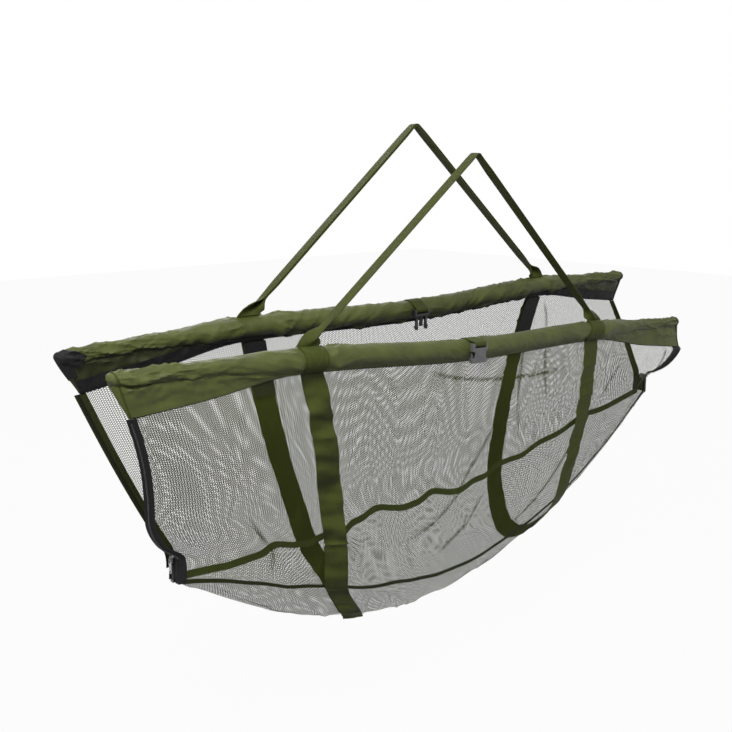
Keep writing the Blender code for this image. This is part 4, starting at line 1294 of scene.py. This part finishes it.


# Buckle: its socket, plug and arms; the tabs are dressed with the inner parts


def makeBuckle():
    for name, body, mat, edge in (("buckle_socket", "socket", socketPlastic, 0.0009),
                                  ("buckle_plug", "plug", blackPlastic, 0.0006),
                                  ("plug_left_arm", "plug_arm_left", blackPlastic, 0.0006),
                                  ("plug_right_arm", "plug_arm_right", blackPlastic, 0.0006)):
        dress(copyNode(name, name + "_moulded", edge), mat, body, [name])
    print("buckle made")


# Inner parts keep their CAD shape


def dressInnerParts():
    parts = {"socket_tab": webbingSolid, "plug_tab": webbingSolid}
    for side in sides:
        parts.update({side + "_pole": glassFibre, side + "_float": foam,
                      side + "_left_pole_cap": blackPlastic, side + "_right_pole_cap": blackPlastic})
    for name, mat in parts.items():
        dress(nodes[name], mat)
    print("inner parts dressed")


# Floor, light and background

stage = {"floorZ": -0.98, "floorSize": 14, "floorShade": 0.28, "white": 0.96, "world": 0.11}
lamps = {"key": ((-1.4, -1.15, 1.15), (-0.1, 0, -0.35), 0.7, 78),  # place, target, size and power
         "fill": ((1.6, -1.4, 0.4), (0, 0, -0.4), 1.2, 3),
         "behind": ((0.9, 1.9, 0.9), (0, 0, -0.4), 1.2, 20)}


def showWhite(plain, white, share, output):
    # the camera, and what gloss or glass sends on, see white; the object is lit by the plain one
    rays = newNode("LightPath").outputs
    sentOn = maths("ADD", rays["Is Glossy Ray"], rays["Is Transmission Ray"])
    seen = maths("ADD", rays["Is Camera Ray"], sentOn)
    both = newNode("MixShader")
    for k, value in enumerate((maths("MULTIPLY", seen, share), plain.outputs[0], white.outputs[0])):
        link(value, both.inputs[k])
    link(both.outputs[0], making["tree"].nodes[output].inputs[0])


def addFloor():
    pick()
    bpy.ops.mesh.primitive_plane_add(size=stage["floorSize"], location=(0, 0, stage["floorZ"]))
    floor = bpy.context.object
    floor.name = "floor"
    mat = newMaterial("pale floor", 0.9)
    making["shader"].inputs["Base Color"].default_value = (*[stage["floorShade"]] * 3, 1)
    glow = newNode("Emission")
    glow.inputs["Strength"].default_value = 1
    showWhite(making["shader"], glow, stage["white"], "Material Output")
    floor.data.materials.append(mat)


def addArea(name, spot, target, size, power):
    bpy.ops.object.light_add(type="AREA", location=spot)
    lamp = bpy.context.object
    lamp.name = name
    lamp.data.shape = "DISK"
    lamp.data.size = size
    lamp.data.energy = power
    lamp.rotation_mode = "QUATERNION"
    lamp.rotation_quaternion = (Vector(target) - Vector(spot)).to_track_quat("-Z", "Y")


def addLight():
    world = bpy.data.worlds.new("studio")
    bpy.context.scene.world = world
    world.use_nodes = True
    making["tree"] = world.node_tree
    plain = world.node_tree.nodes["Background"]
    white = newNode("Background")
    for node, strength in ((plain, stage["world"]), (white, 1)):
        node.inputs["Color"].default_value = (1, 1, 1, 1)
        node.inputs["Strength"].default_value = strength
    showWhite(plain, white, 1, "World Output")
    for name, lamp in lamps.items():
        addArea(name, *lamp)
    bpy.context.scene.view_settings.view_transform = "Standard"
    print("floor and light set")


addCamera()
makeSleeves()
makeSleeveTrim()
makeNet()
makeBellyStraps()
makeBindings()
makeZipTapes()
makeZipTeeth()
makeChains()
makeSliders()
makeBands()
makeHandles()
makeBuckle()
dressInnerParts()
addFloor()
addLight()
